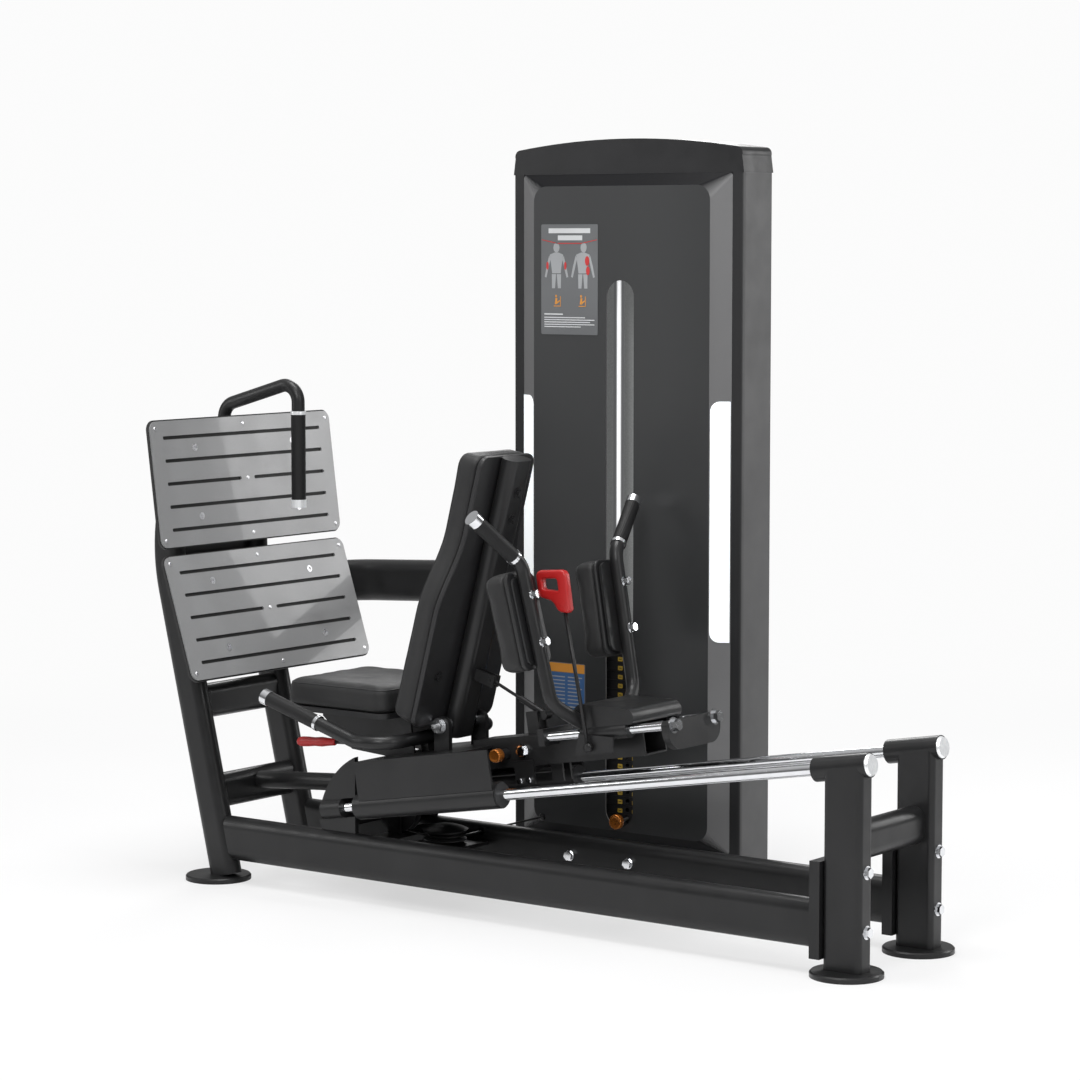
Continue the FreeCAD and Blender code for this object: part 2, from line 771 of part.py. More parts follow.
HALF_TOWER = size("tower_width") / 2
TOWER_REAR_Y = size("tower_front_y") + size("tower_depth")
BEAM_TOP = 80.0
TOP_BEAM_Z = 1596.0
PULLEY_TOP_Z = 1530.0
ROD_TOP = 1440.0
LOW_GROOVE = 30.0
LOW_PULLEY = (DOWN_RUN_X, TOWER_Y - LOW_GROOVE, CABLE_Z + LOW_GROOVE)
GROOVE = 42.0
TOP_PULLEYS = ((TOWER_X - GROOVE, TOWER_Y, PULLEY_TOP_Z),
               (DOWN_RUN_X + GROOVE, TOWER_Y, PULLEY_TOP_Z))
FLOOR_PULLEY = (DOWN_RUN_X - GROOVE, GROOVE, CABLE_Z)
FRONT_PULLEY_X = -1262.0
FRONT_GROOVE = 50.0
CLEVIS_X = -802.0
CLEVIS_ABOVE = 31.0


def axle_with_plates(name, centre, axis, plate_size, plate_shift):
    """A pulley's axle and the two plates that hold it."""
    half = size("pulley_width") / 2 + 3
    pieces = [cylinder(name + "_axle", centre - axis * (half + 6), centre + axis * (half + 6),
                       "axle_diameter")]
    for side in SIDES:
        middle = centre + axis * side * (half + 3) + plate_shift
        block = box(f"{name}_plate_{side}", middle, *plate_size)
        pieces.append(block)
    return [fuse(name, pieces)]


def build_tower_frame():
    width = size("tower_width") - 20
    pieces = [box("tower_base", at(TOWER_X, TOWER_Y, (FOOT_TOP + BEAM_TOP) / 2), width, 76,
                  BEAM_TOP - FOOT_TOP),
              box("tower_top", at(TOWER_X, TOWER_Y, TOP_BEAM_Z + 18), width, 60, 36)]
    for side in SIDES:
        x = TOWER_X + side * (width / 2 - 22)
        outer = box(f"tower_post_{side}", at(x, TOWER_Y, (BEAM_TOP + TOP_BEAM_Z) / 2), 40, 60,
                    TOP_BEAM_Z - BEAM_TOP)
        inner = box(f"tower_bore_{side}", at(x, TOWER_Y, (BEAM_TOP + TOP_BEAM_Z) / 2), 34, 54,
                    TOP_BEAM_Z)
        pieces.append(cut(f"tower_tube_{side}", outer, inner))
    tie = box("rod_tie", at(TOWER_X, TOWER_Y, ROD_TOP + 10), width, 40, 20)
    passes = [cylinder(f"tie_pass_{number}", at(x, TOWER_Y, ROD_TOP - 10),
                       at(x, TOWER_Y, ROD_TOP + 30), radius=8)
              for number, x in enumerate((TOWER_X, DOWN_RUN_X))]
    pieces.append(cut("rod_tie_cut", tie, fuse("tie_passes", passes)))
    for number, centre in enumerate(TOP_PULLEYS):
        height = TOP_BEAM_Z - PULLEY_TOP_Z + 20
        pieces += axle_with_plates(f"top_axle_{number}", at(*centre), ACROSS, (36, 6, height),
                                   Vector(0, 0, height / 2 - 20))
    height = LOW_PULLEY[2] - BEAM_TOP + 20
    pieces += axle_with_plates("low_axle", at(*LOW_PULLEY), Vector(1, 0, 0), (6, 36, height),
                               Vector(0, 0, 20 - height / 2))
    publish(group("tower_structure", pieces), "tower_frame")


def build_side_covers():
    """Folded side panels: a bezel strip in front, a flat side and a strip behind."""
    covers = []
    depth, bezel, wall = size("tower_depth"), size("bezel_width"), size("cover_wall")
    for side in SIDES:
        outer = side * HALF_TOWER
        lip = side * (HALF_TOWER - bezel)
        radius = 8
        turn = radius * (1 - math.sqrt(0.5))
        inner, inner_turn = outer - side * wall, radius - wall
        half = depth / 2
        points = [(outer - side * radius, -half),
                  [(outer - side * turn, -half + turn), (outer, -half + radius)],
                  (outer, half - radius),
                  [(outer - side * turn, half - turn), (outer - side * radius, half)],
                  (lip, half), (lip, half - wall), (outer - side * radius, half - wall),
                  [(inner - side * inner_turn * 0.2929, half - wall - inner_turn * 0.2929),
                   (inner, half - radius)],
                  (inner, -half + radius),
                  [(inner - side * inner_turn * 0.2929, -half + wall + inner_turn * 0.2929),
                   (outer - side * radius, -half + wall)],
                  (lip, -half + wall), (lip, -half)]
        body = new_body(f"side_cover_{side}", Placement(at(TOWER_X, TOWER_Y, 24), Rotation()))
        sketch = new_sketch(body, f"side_cover_section_{side}")
        outline(sketch, points)
        pad(body, sketch, size("tower_opening_top") - 24)
        covers.append(body)
    publish(group("covers_at_the_sides", covers), "tower_side_covers")


def header_outline(inset):
    """The header seen from the front, drawn about the tower's middle."""
    half, low = HALF_TOWER - inset, size("tower_opening_top") - 2 * inset
    shoulder, top = 1664.0 - inset, size("tower_top") - inset
    corner, narrowing = 12, 5
    side = half - narrowing
    return [[(0, top), (corner - side, shoulder)],
            [(-side + 0.25 * corner, shoulder - 0.4 * corner), (-side, shoulder - 1.6 * corner)],
            (-half, low), (half, low), (side, shoulder - 1.6 * corner),
            [(side - 0.25 * corner, shoulder - 0.4 * corner), (side - corner, shoulder)]]


def build_header():
    """The arched cap over the tower, hollow and open below."""
    front = axes(at(TOWER_X, TOWER_Y, 0), Vector(1, 0, 0), Vector(0, -1, 0))
    body = new_body("header", front)
    sketch = new_sketch(body, "header_outline")
    outline(sketch, header_outline(0))
    pad(body, sketch, "tower_depth", symmetric=True)
    hollow = new_body("header_hollow", front)
    inner_sketch = new_sketch(hollow, "header_inner_outline")
    outline(inner_sketch, header_outline(4))
    pad(hollow, inner_sketch, size("tower_depth") - 8, symmetric=True)
    publish(cut("header_shell", body, hollow), "tower_header")


def tray_section(name, y, inset, corner):
    """A rounded rectangle across the tower at y, for the shrouds' lofts."""
    top, bottom = size("tower_opening_top"), size("shroud_bottom")
    width = 2 * (HALF_TOWER - size("bezel_width")) - 2 * inset
    sketch = doc.addObject("Sketcher::SketchObject", name)
    sketch.Placement = axes(at(TOWER_X, y, 0), Vector(1, 0, 0), Vector(0, -1, 0))
    outline(sketch, rounded_points(width, top - bottom - 2 * inset * 0.6, corner,
                                   (0, (top + bottom) / 2)))
    return sketch


def tray(name, face_y, outward):
    """A shallow moulded tray that bulges out of the tower by its slanted rim."""
    bulge, slant, wall = size("shroud_bulge"), size("shroud_slant"), size("shroud_wall")
    solids = []
    levels = (((0.0, 0.4, 8), (1.0, slant, 34)), ((-0.2, 3.4, 6), (1 - wall / bulge, slant, 34)))
    for number, pair in enumerate(levels):
        loft = doc.addObject("Part::Loft", f"{name}_loft_{number}")
        loft.Sections = [tray_section(f"{name}_section_{number}_{i}",
                                      face_y + outward * share * bulge, inset, corner)
                         for i, (share, inset, corner) in enumerate(pair)]
        loft.Solid = True
        loft.Ruled = True
        solids.append(loft)
    return cut(name, *solids)


def build_shrouds():
    shell = tray("front_tray", size("tower_front_y"), -1)
    bottom, top, width = size("slot_bottom"), size("slot_top"), size("slot_width")
    place = axes(at(TOWER_X, size("tower_front_y"), 0), Vector(1, 0, 0), Vector(0, -1, 0))
    slot = plate("slot_tool", place,
                 rounded_points(width, top - bottom, width / 2 - 0.5, (0, (top + bottom) / 2)), 80)
    hole = cylinder("shroud_cable_hole", *cable_pass(), radius=9)
    publish(cut("tray_with_slot", shell, fuse("tray_tools", [slot, hole])), "front_shroud")
    publish(tray("rear_tray", TOWER_REAR_Y, 1), "rear_shroud")


def build_windows():
    """Opal strips on the front tray's slanted sides, rounded towards its middle."""
    strips = []
    bulge, slant = size("shroud_bulge"), size("shroud_slant")
    height, low = 534.0, 572.0
    angle = math.atan2(bulge, slant)
    width = math.hypot(bulge, slant) - 5
    for side in SIDES:
        outward = Vector(side * math.sin(angle), -math.cos(angle), 0)
        across = Vector(side * math.cos(angle), math.sin(angle), 0)
        middle_x = TOWER_X + side * (HALF_TOWER - size("bezel_width") - slant / 2)
        place = axes(at(middle_x, size("tower_front_y") - bulge / 2, low + height / 2)
                     + outward * 0.75, across * side, outward)
        near, far = -side * width / 2, side * width / 2
        nick = 22
        points = [(far, -height / 2), (far, height / 2), (near + side * nick, height / 2),
                  [(near + side * nick * 0.2929, height / 2 - nick * 0.2929),
                   (near, height / 2 - nick)],
                  (near, -height / 2 + nick),
                  [(near + side * nick * 0.2929, -height / 2 + nick * 0.2929),
                   (near + side * nick, -height / 2)]]
        strips.append(plate(f"window_{side}", place, points, 1.5))
    publish(group("windows_of_the_shroud", strips), "shroud_windows")


def build_placards():
    face = size("tower_front_y") - size("shroud_bulge")
    place = axes(at(0, face - 0.5, 0), Vector(1, 0, 0), Vector(0, -1, 0))
    pieces = [plate("instruction_placard", place,
                    rounded_points(158, 249, 4, (-1043, 1371)), 1.0),
              plate("notice_placard", place, rounded_points(104, 112, 4, (-1050, 440)), 1.0)]
    publish(group("placards_on_the_shroud", pieces), "placards")


def build_stack_guides():
    rods, bumpers = [], []
    for side in SIDES:
        x = TOWER_X + side * size("stack_rod_spacing") / 2
        rods.append(round_bar(f"stack_rod_{side}", at(x, TOWER_Y, BEAM_TOP),
                              at(x, TOWER_Y, ROD_TOP), "stack_rod_diameter"))
        outer = cylinder(f"bumper_{side}", at(x, TOWER_Y, BEAM_TOP),
                         at(x, TOWER_Y, size("stack_bottom")), radius=26)
        bore = cylinder(f"bumper_bore_{side}", at(x, TOWER_Y, 0), at(x, TOWER_Y, 300),
                        "stack_rod_diameter")
        bumpers.append(cut(f"bumper_ring_{side}", outer, bore))
    publish(group("rods_for_the_stack", rods), "guide_rods")
    publish(group("bumpers_under_the_stack", bumpers), "stack_bumpers")


def guide_bores(name, low, high):
    """Clearance bores around both guide rods, and around the stem between them."""
    bores = [cylinder(f"{name}_{side}", at(TOWER_X + side * size("stack_rod_spacing") / 2,
                                           TOWER_Y, low),
                      at(TOWER_X + side * size("stack_rod_spacing") / 2, TOWER_Y, high),
                      radius=size("stack_rod_diameter") / 2 + 1) for side in SIDES]
    return bores


def pin_holes(name, radius, low_y, high_y):
    """Cross holes for the selector pin, one at the middle of each plate."""
    first = size("stack_bottom") + size("weight_thickness") / 2
    return [cylinder(f"{name}_{i}", at(TOWER_X, low_y, first + i * size("plate_pitch")),
                     at(TOWER_X, high_y, first + i * size("plate_pitch")), radius=radius)
            for i in range(int(size("weight_count")))]


def build_weights():
    count, pitch = int(size("weight_count")), size("plate_pitch")
    bottom = size("stack_bottom")
    top = bottom + count * pitch
    front = TOWER_Y - size("weight_depth") / 2
    plates = []
    for i in range(count):
        name = f"weight_{i}"
        body = new_body(name, Placement(at(TOWER_X, TOWER_Y, bottom + i * pitch), Rotation()))
        sketch = new_sketch(body, name + "_outline")
        outline(sketch, rounded_points(size("weight_width"), size("weight_depth"), 8))
        sketch.addGeometry(Part.Circle(Vector(0, 0, 0), Vector(0, 0, 1),
                                       size("stem_diameter") / 2 + 1))
        for side in SIDES:
            centre = Vector(side * size("stack_rod_spacing") / 2, 0, 0)
            sketch.addGeometry(Part.Circle(centre, Vector(0, 0, 1),
                                           size("stack_rod_diameter") / 2 + 1))
        pad(body, sketch, "weight_thickness")
        hole = cylinder(f"{name}_hole", at(TOWER_X, front - 10, bottom + i * pitch + 10),
                        at(TOWER_X, TOWER_Y - 8, bottom + i * pitch + 10), radius=5.5)
        plates.append(cut(name + "_drilled", body, hole))
    publish(group("plates_of_the_stack", plates), "weight_plates")

    block = box("head_block", at(TOWER_X, TOWER_Y, top + 14), size("weight_width"),
                size("weight_depth"), 28)
    stem = cylinder("stem", at(TOWER_X, TOWER_Y, bottom + 2), at(TOWER_X, TOWER_Y, top + 46),
                    "stem_diameter")
    tools = guide_bores("head_bore", top - 10, top + 40)
    tools += pin_holes("stem_hole", 5.5, TOWER_Y - 20, TOWER_Y + 20)
    publish(cut("head_and_stem", fuse("head_blank", [block, stem]), fuse("head_tools", tools)),
            "head_plate")

    pin_z = bottom + size("weight_thickness") / 2
    knob_y = size("tower_front_y") - size("shroud_bulge") - 3
    shaft = cylinder("selector_shaft", at(TOWER_X, knob_y, pin_z), at(TOWER_X, TOWER_Y + 8, pin_z),
                     radius=4.5)
    knob = cylinder("selector_knob", at(TOWER_X, knob_y - 14, pin_z), at(TOWER_X, knob_y, pin_z),
                    radius=17)
    neck = cylinder("selector_neck", at(TOWER_X, knob_y, pin_z), at(TOWER_X, knob_y + 10, pin_z),
                    radius=10)
    publish(fuse("selector", [shaft, knob, neck]), "selector_pin")
    return top + 46


def pulley(label, centre, axis, groove_radius):
    """A grooved wheel about its own bore."""
    half, rim = size("pulley_width") / 2, groove_radius + 7
    body = new_body(label + "_body", along(centre, centre + axis, Vector(0.1, 0.9, 0.4)))
    sketch = new_sketch(body, label + "_profile", role="XZ_Plane")
    bore = size("pulley_bore") / 2
    outline(sketch, [(bore, -half), (rim, -half), (rim, -half + 3), (groove_radius, -4),
                     [(groove_radius - 3.5, 0), (groove_radius, 4)], (rim, half - 3), (rim, half),
                     (bore, half)])
    turn = body.newObject("PartDesign::Revolution", label + "_turn")
    turn.Profile = sketch
    turn.ReferenceAxis = (sketch, ["V_Axis"])
    turn.Angle = 360
    publish(body, label)


def build_pulleys():
    front = rail_point(FRONT_PULLEY_X, 0, CLEVIS_ABOVE - FRONT_GROOVE)
    pulley("top_pulley_centre", at(*TOP_PULLEYS[0]), ACROSS, GROOVE)
    pulley("top_pulley_side", at(*TOP_PULLEYS[1]), ACROSS, GROOVE)
    pulley("low_pulley", at(*LOW_PULLEY), Vector(1, 0, 0), LOW_GROOVE)
    pulley("floor_pulley", at(*FLOOR_PULLEY), Vector(0, 0, 1), GROOVE)
    pulley("front_pulley", front, ACROSS, FRONT_GROOVE)


def build_pulley_brackets():
    """The floor bridge with its domed cap, and the front pulley's bracket."""
    x, y, z = FLOOR_PULLEY
    inner = HALF_SPACING - HALF_OVAL
    bridge = box("pulley_bridge", at(x, 0, z - 23), 130, 2 * inner, 8)
    post = cylinder("floor_axle", at(x, y, z - 20), at(x, y, z + 13), "axle_diameter")
    dome = doc.addObject("Part::Sphere", "dome_ball")
    dome.Radius = 120
    dome.Placement = Placement(at(x, y, z + 25 - 120), Rotation())
    keep = cylinder("dome_edge", at(x, y, z + 13), at(x, y, z + 60), radius=56)
    cap = doc.addObject("Part::MultiCommon", "dome")
    cap.Shapes = [dome, keep]
    front = rail_point(FRONT_PULLEY_X, 0, CLEVIS_ABOVE - FRONT_GROOVE)
    beam = box("front_pulley_beam", at(FRONT_PULLEY_X, 0, 128), 40, 2 * inner, 10)
    height = front.z - 133 + 20
    bracket = axle_with_plates("front_axle", front, ACROSS, (36, 6, height),
                               Vector(0, 0, 20 - height / 2))
    publish(group("brackets_for_pulleys", [fuse("floor_pivot", [bridge, post, cap]), beam] + bracket),
            "pulley_brackets")


def arc_point(centre, first, second, angle_degrees, radius):
    angle = math.radians(angle_degrees)
    return centre + first * radius * math.cos(angle) + second * radius * math.sin(angle)


def build_cable(head_top):
    """The cable from the top pulleys to the carriage, and its lifting run over the stack."""
    x_axis, z_axis = Vector(1, 0, 0), Vector(0, 0, 1)
    first, second = at(*TOP_PULLEYS[0]), at(*TOP_PULLEYS[1])
    low, floor_wheel = at(*LOW_PULLEY), at(*FLOOR_PULLEY)
    front = rail_point(FRONT_PULLEY_X, 0, CLEVIS_ABOVE - FRONT_GROOVE)
    top = GROOVE
    stages = [arc_point(first, x_axis, z_axis, 0, top),
              (arc_point(first, x_axis, z_axis, 45, top), arc_point(first, x_axis, z_axis, 90, top)),
              arc_point(second, x_axis, z_axis, 90, top),
              (arc_point(second, x_axis, z_axis, 135, top),
               arc_point(second, x_axis, z_axis, 180, top)),
              arc_point(low, ACROSS, z_axis, 0, LOW_GROOVE),
              (arc_point(low, ACROSS, z_axis, -45, LOW_GROOVE),
               arc_point(low, ACROSS, z_axis, -90, LOW_GROOVE)),
              arc_point(floor_wheel, x_axis, ACROSS, 0, GROOVE),
              (arc_point(floor_wheel, x_axis, ACROSS, -45, GROOVE),
               arc_point(floor_wheel, x_axis, ACROSS, -90, GROOVE)),
              arc_point(front, ALONG_RAIL, ABOVE_RAIL, -90, FRONT_GROOVE),
              (arc_point(front, ALONG_RAIL, ABOVE_RAIL, 180, FRONT_GROOVE),
               arc_point(front, ALONG_RAIL, ABOVE_RAIL, 90, FRONT_GROOVE)),
              rail_point(CLEVIS_X - 24, 0, CLEVIS_ABOVE)]
    runs = []
    previous = stages[0]
    for stage in stages[1:]:
        edge = (Part.Arc(previous, stage[0], stage[1]).toShape() if isinstance(stage, tuple)
                else Part.makeLine(previous, stage))
        end = stage[1] if isinstance(stage, tuple) else stage
        start_direction = edge.tangentAt(edge.FirstParameter)
        ring = Part.Wire(Part.makeCircle(2.5, previous, start_direction))
        runs.append(Part.Wire(edge).makePipeShell([ring], True, True))
        previous = end
    run = doc.addObject("Part::Feature", "cable_run")
    run.Shape = Part.Compound(runs)
    lifting = cylinder("lifting_run", at(TOWER_X, TOWER_Y, head_top), stages[0], radius=2.5)
    publish(group("cable_runs", [run, lifting]), "cable")


# ---------------------------------------------------------------- carriage

RAIL_AXES = axes(rail_point(0), ALONG_RAIL, ABOVE_RAIL)
PIVOT = (-1086.0, 398.0)
DECK_TOP = 101.0
DECK_FRONT, DECK_REAR = -1236.0, -950.0
SKIRT_REAR = -866.0
ARM_FRONT, ARM_REAR = -1000.0, -550.0
ARM_TOP = 115.0
ARM_SIDE = size("arm_width") / 2
SHORT_ROD_ABOVE = 110.0
ROD_FRONT, ROD_REAR = -785.0, -446.0
SEAT_PLATE_TOP = 410.0
SEAT_X = -1330.0
POP_PIN = (-913.0, 80.0)
HAND_Y = 200.0
STRUT_FOOT = (-850.0, 435.0)
STRUT_HEAD = (-996.0, 499.0)


def rail_box(name, x_range, y_range, above_range):
    """A block square to the rails, between places along, across and above their axes."""
    x_low, x_high = [x / math.cos(SLOPE) for x in x_range]
    (y_low, y_high), (low, high) = y_range, above_range
    centre = Vector((x_low + x_high) / 2, (y_low + y_high) / 2, (low + high) / 2)
    return box(name, centre, x_high - x_low, y_high - y_low, high - low, RAIL_AXES)


def side_view(y):
    """A placement whose local X and Y are the machine's x and z, on the plane at y."""
    return axes(at(0, y, 0), Vector(1, 0, 0), Vector(0, -1, 0))


def arm_tube():
    """The carriage's box-section arm, with the hole for the pop pin."""
    wall = 4
    low = ARM_TOP - size("arm_height")
    outer = rail_box("arm_outer", (ARM_FRONT, ARM_REAR), (-ARM_SIDE, ARM_SIDE), (low, ARM_TOP))
    inner = rail_box("arm_inner", (ARM_FRONT - 10, ARM_REAR + 10),
                     (wall - ARM_SIDE, ARM_SIDE - wall), (low + wall, ARM_TOP - wall))
    return outer, inner


def build_carriage_frame():
    half = HALF_SPACING + size("beam_width") / 2
    wall, deck = 6, size("deck_thickness")
    arm, arm_hollow = arm_tube()
    pieces = [rail_box("deck", (DECK_FRONT, DECK_REAR), (-half, half), (DECK_TOP - deck, DECK_TOP)),
              arm]
    tools = [arm_hollow]
    centre_x = (DECK_FRONT + SKIRT_REAR) / 2 - 8
    reach = size("sleeve_length") / 2
    for side in SIDES:
        y = side * half
        skirt = (min(y, y - side * wall), max(y, y - side * wall))
        pieces.append(rail_box(f"skirt_{side}", (DECK_FRONT, SKIRT_REAR), skirt, (14, DECK_TOP)))
        rib = (min(y, side * 115), max(y, side * 115))
        for number, x in enumerate((-1228, -1100, -962)):
            pieces.append(rail_box(f"rib_{side}_{number}", (x - 4, x + 4), rib, (20, DECK_TOP - 2)))
        middle = rail_point(centre_x, side * HALF_SPACING)
        pieces.append(cylinder(f"sleeve_{side}", middle - ALONG_RAIL * reach,
                               middle + ALONG_RAIL * reach, "sleeve_diameter"))
        tools.append(cylinder(f"sleeve_bore_{side}", middle - ALONG_RAIL * (reach + 10),
                              middle + ALONG_RAIL * (reach + 10), "sleeve_bore"))
        pieces += carriage_plates(side)
        tools.append(cylinder(f"ear_bore_{side}", at(PIVOT[0], side * 50, PIVOT[1]),
                              at(PIVOT[0], side * 80, PIVOT[1]),
                              radius=size("hinge_pin_diameter") / 2 + 0.05))
        for number, above in enumerate((ARM_TOP + 38, CLEVIS_ABOVE)):
            x = STRUT_FOOT[0] if number == 0 else CLEVIS_X
            low, high = (ARM_TOP - 3, above + 12) if number == 0 else (above - 22, ARM_TOP - 63)
            lug = (min(side * 11, side * 17), max(side * 11, side * 17))
            pieces.append(rail_box(f"lug_{side}_{number}", (x - 15, x + 15), lug, (low, high)))
    pieces.append(box("seat_bracket_top", at(-1305, 0, SEAT_PLATE_TOP - 3), 250, 126, 6))
    pieces.append(rail_box("tool_bracket", (-895, -843), (-ARM_SIDE - 4, -ARM_SIDE), (10, 62)))
    pieces.append(rail_box("front_rod_block", (ROD_FRONT, ROD_FRONT + 16), (-92, 92), (92, 128)))
    pieces.append(rod_end_plate())
    collar_start = rail_point(POP_PIN[0], 0, POP_PIN[1])
    pieces.append(cylinder("pop_collar", collar_start - ACROSS * 62, collar_start - ACROSS * 38,
                           radius=11))
    tools.append(cylinder("pop_bore", collar_start - ACROSS * 80, collar_start - ACROSS * 30,
                          radius=5.05))
    spacing = size("short_rod_spacing") / 2
    for side in SIDES:
        tools.append(cylinder(f"short_rod_seat_{side}", rail_point(-800, side * spacing, 110),
                              rail_point(-430, side * spacing, 110), "short_rod_diameter"))
    publish(cut("carriage_weldment", fuse("carriage_blank", pieces), fuse("carriage_tools", tools)),
            "carriage_frame")
    return centre_x


def rod_end_plate():
    """The plate that ties the short rods' rear ends, its lower corners well rounded."""
    half, low, high, thick = 98, 58, 121, 16
    face = rail_point(ROD_REAR, 0, 0)
    place = axes(face - ALONG_RAIL * (thick / 2), ACROSS, ALONG_RAIL)
    return plate("rod_end_plate", place,
                 [(half, high - 12), [(half - 3.5, high - 3.5), (half - 12, high)],
                  (12 - half, high), [(3.5 - half, high - 3.5), (-half, high - 12)],
                  (-half, low + 40), [(12 - half, low + 12), (40 - half, low)],
                  (half - 40, low), [(half - 12, low + 12), (half, low + 40)]], thick)


def carriage_plates(side):
    """One ear for the backrest's pivot and one plate under the seat."""
    x, z = PIVOT
    ear = plate(f"ear_{side}", side_view(side * size("ear_spacing") / 2),
                [(x - 16, 336), (x + 25, 343), (x + 25, z), [(x + 4.5, z + 20.5), (x - 16, z)]],
                size("ear_thickness"))
    bracket = plate(f"seat_bracket_{side}", side_view(side * 60),
                    [(-1232, 314), (-1165, 325), (-1178, 406), (-1430, 406), (-1430, 390),
                     (-1345, 322)], 6)
    return [ear, bracket]


def build_bushings(centre_x):
    bushings = []
    reach, length = size("sleeve_length") / 2, size("bushing_length")
    for side in SIDES:
        middle = rail_point(centre_x, side * HALF_SPACING)
        for end in SIDES:
            outer = middle + ALONG_RAIL * end * (reach + 3)
            inner = outer - ALONG_RAIL * end * length
            bushings.append(round_bar(f"bushing_{side}_{end}", inner, outer, "sleeve_bore",
                                      "bushing_bore"))
            face = middle + ALONG_RAIL * end * reach
            bushings.append(round_bar(f"flange_{side}_{end}", face,
                                      face + ALONG_RAIL * end * 3, "flange_ring", "sleeve_bore"))
    publish(group("bushings_of_the_carriage", bushings), "linear_bushings")


def build_carriage_bolts():
    x, z = PIVOT
    reach = size("ear_spacing") / 2 + size("ear_thickness") / 2
    pin = cylinder("pivot_pin", at(x, -reach, z), at(x, reach, z), "hinge_pin_diameter")
    bolts = [pin]
    for side in SIDES:
        bolts.append(hex_bolt(f"pivot_nut_{side}", at(x, side * reach, z), ACROSS * side, 24, 12, 36))
        spacer = cylinder(f"spacer_{side}", at(x, side * 42, z), at(x, side * 60, z), radius=14)
        bore = cylinder(f"spacer_bore_{side}", at(x, side * 30, z), at(x, side * 70, z),
                        "hinge_pin_diameter")
        bolts.append(cut(f"spacer_ring_{side}", spacer, bore))
    bolts.append(hex_bolt("arm_bolt", rail_point(-868, -ARM_SIDE, 83), -ACROSS, 19, 10, 30))
    for number, x in enumerate((-882, -858)):
        bolts.append(hex_bolt(f"bracket_bolt_{number}", rail_point(x, -ARM_SIDE - 4, 18), -ACROSS,
                              10, 5, 12))
    spacing = size("short_rod_spacing") / 2
    for side in SIDES:
        rod_end = rail_point(ROD_REAR, side * spacing, SHORT_ROD_ABOVE)
        bolts.append(hex_bolt(f"rod_nut_{side}", rod_end, ALONG_RAIL, 22, 14, 34))
    publish(group("bolts_of_the_carriage", bolts), "carriage_bolts")


def build_short_rods():
    spacing = size("short_rod_spacing") / 2
    rods = [round_bar(f"short_rod_{side}", rail_point(ROD_FRONT, side * spacing, SHORT_ROD_ABOVE),
                      rail_point(ROD_REAR, side * spacing, SHORT_ROD_ABOVE), "short_rod_diameter")
            for side in SIDES]
    publish(group("rods_for_the_shoulders", rods), "shoulder_rods")


def build_seat():
    board_z, thick = SEAT_PLATE_TOP, size("board_thickness")
    for label, low, height, inset in (("seat_board", board_z, thick, 6),
                                      ("seat_cushion", board_z + thick,
                                       size("cushion_thickness"), 0)):
        body = new_body(label + "_body", Placement(at(SEAT_X, 0, low), Rotation()))
        sketch = new_sketch(body, label + "_outline")
        outline(sketch, rounded_points(size("seat_length") - 2 * inset,
                                       size("seat_width") - 2 * inset, 30 - inset))
        pad(body, sketch, height)
        publish(body, label)


def build_hand_bar():
    """The loop behind the seat with a grip on each side, standing on the deck."""
    y, cross_x, cross_z = HAND_Y, -1136.0, 368.0
    half = [(-1481, 444), (-1222, 366), (cross_x, cross_z)]
    corners = [at(x, -y, z) for x, z in half] + [at(x, y, z) for x, z in reversed(half)]
    loop = bent_round("hand_loop", corners, 60, "handle_diameter")
    foot_low = rail_box("loop_foot", (cross_x - 10, cross_x + 10), (-40, 40), (DECK_TOP, 126))
    publish(fuse("hand_loop_on_foot", [loop, foot_low]), "hand_bar")
    grips, trim = [], []
    for side in SIDES:
        tip, elbow = at(-1481, side * y, 444), at(-1222, side * y, 366)
        root = tip + (elbow - tip).normalize() * 164
        sleeve, ring, cap = grip_set(f"hand_grip_{side}", root, tip)
        grips.append(sleeve)
        trim += [ring, cap]
    publish(group("grips_by_the_seat", grips), "hand_grips")
    publish(group("trim_by_the_seat", trim), "hand_trim")


def build_levers():
    """The seat lever and the spring-loaded pop pin."""
    x, z, y = -1312, 340, -78
    boss = cylinder("seat_lever_boss", at(x, -92, z), at(x, -64, z), radius=9)
    rod = cylinder("seat_lever_rod", at(x, y, z), at(-1390, y, 336), radius=5)
    grip = cylinder("seat_lever_grip", at(-1381, y, 336), at(-1486, y, 328), radius=11)
    tip = doc.addObject("Part::Sphere", "seat_lever_tip")
    tip.Radius = 11
    tip.Placement = Placement(at(-1486, y, 328), Rotation())
    publish(fuse("seat_lever_solid", [boss, rod, grip, tip]), "seat_lever")

    middle = rail_point(POP_PIN[0], 0, POP_PIN[1])
    shaft = cylinder("pop_shaft", middle - ACROSS * 66, middle - ACROSS * 32, radius=5)
    knob = cylinder("pop_knob", middle - ACROSS * 86, middle - ACROSS * 64, radius=15)
    publish(fuse("pop_solid", [shaft, knob]), "pop_pin")


# ---------------------------------------------------------------- backrest

BACK_UP, BACK_REAR = lean(size("back_lean"))


def back_point(along_spine, behind, y=0.0):
    return at(PIVOT[0], y, PIVOT[1]) + BACK_UP * along_spine + BACK_REAR * behind


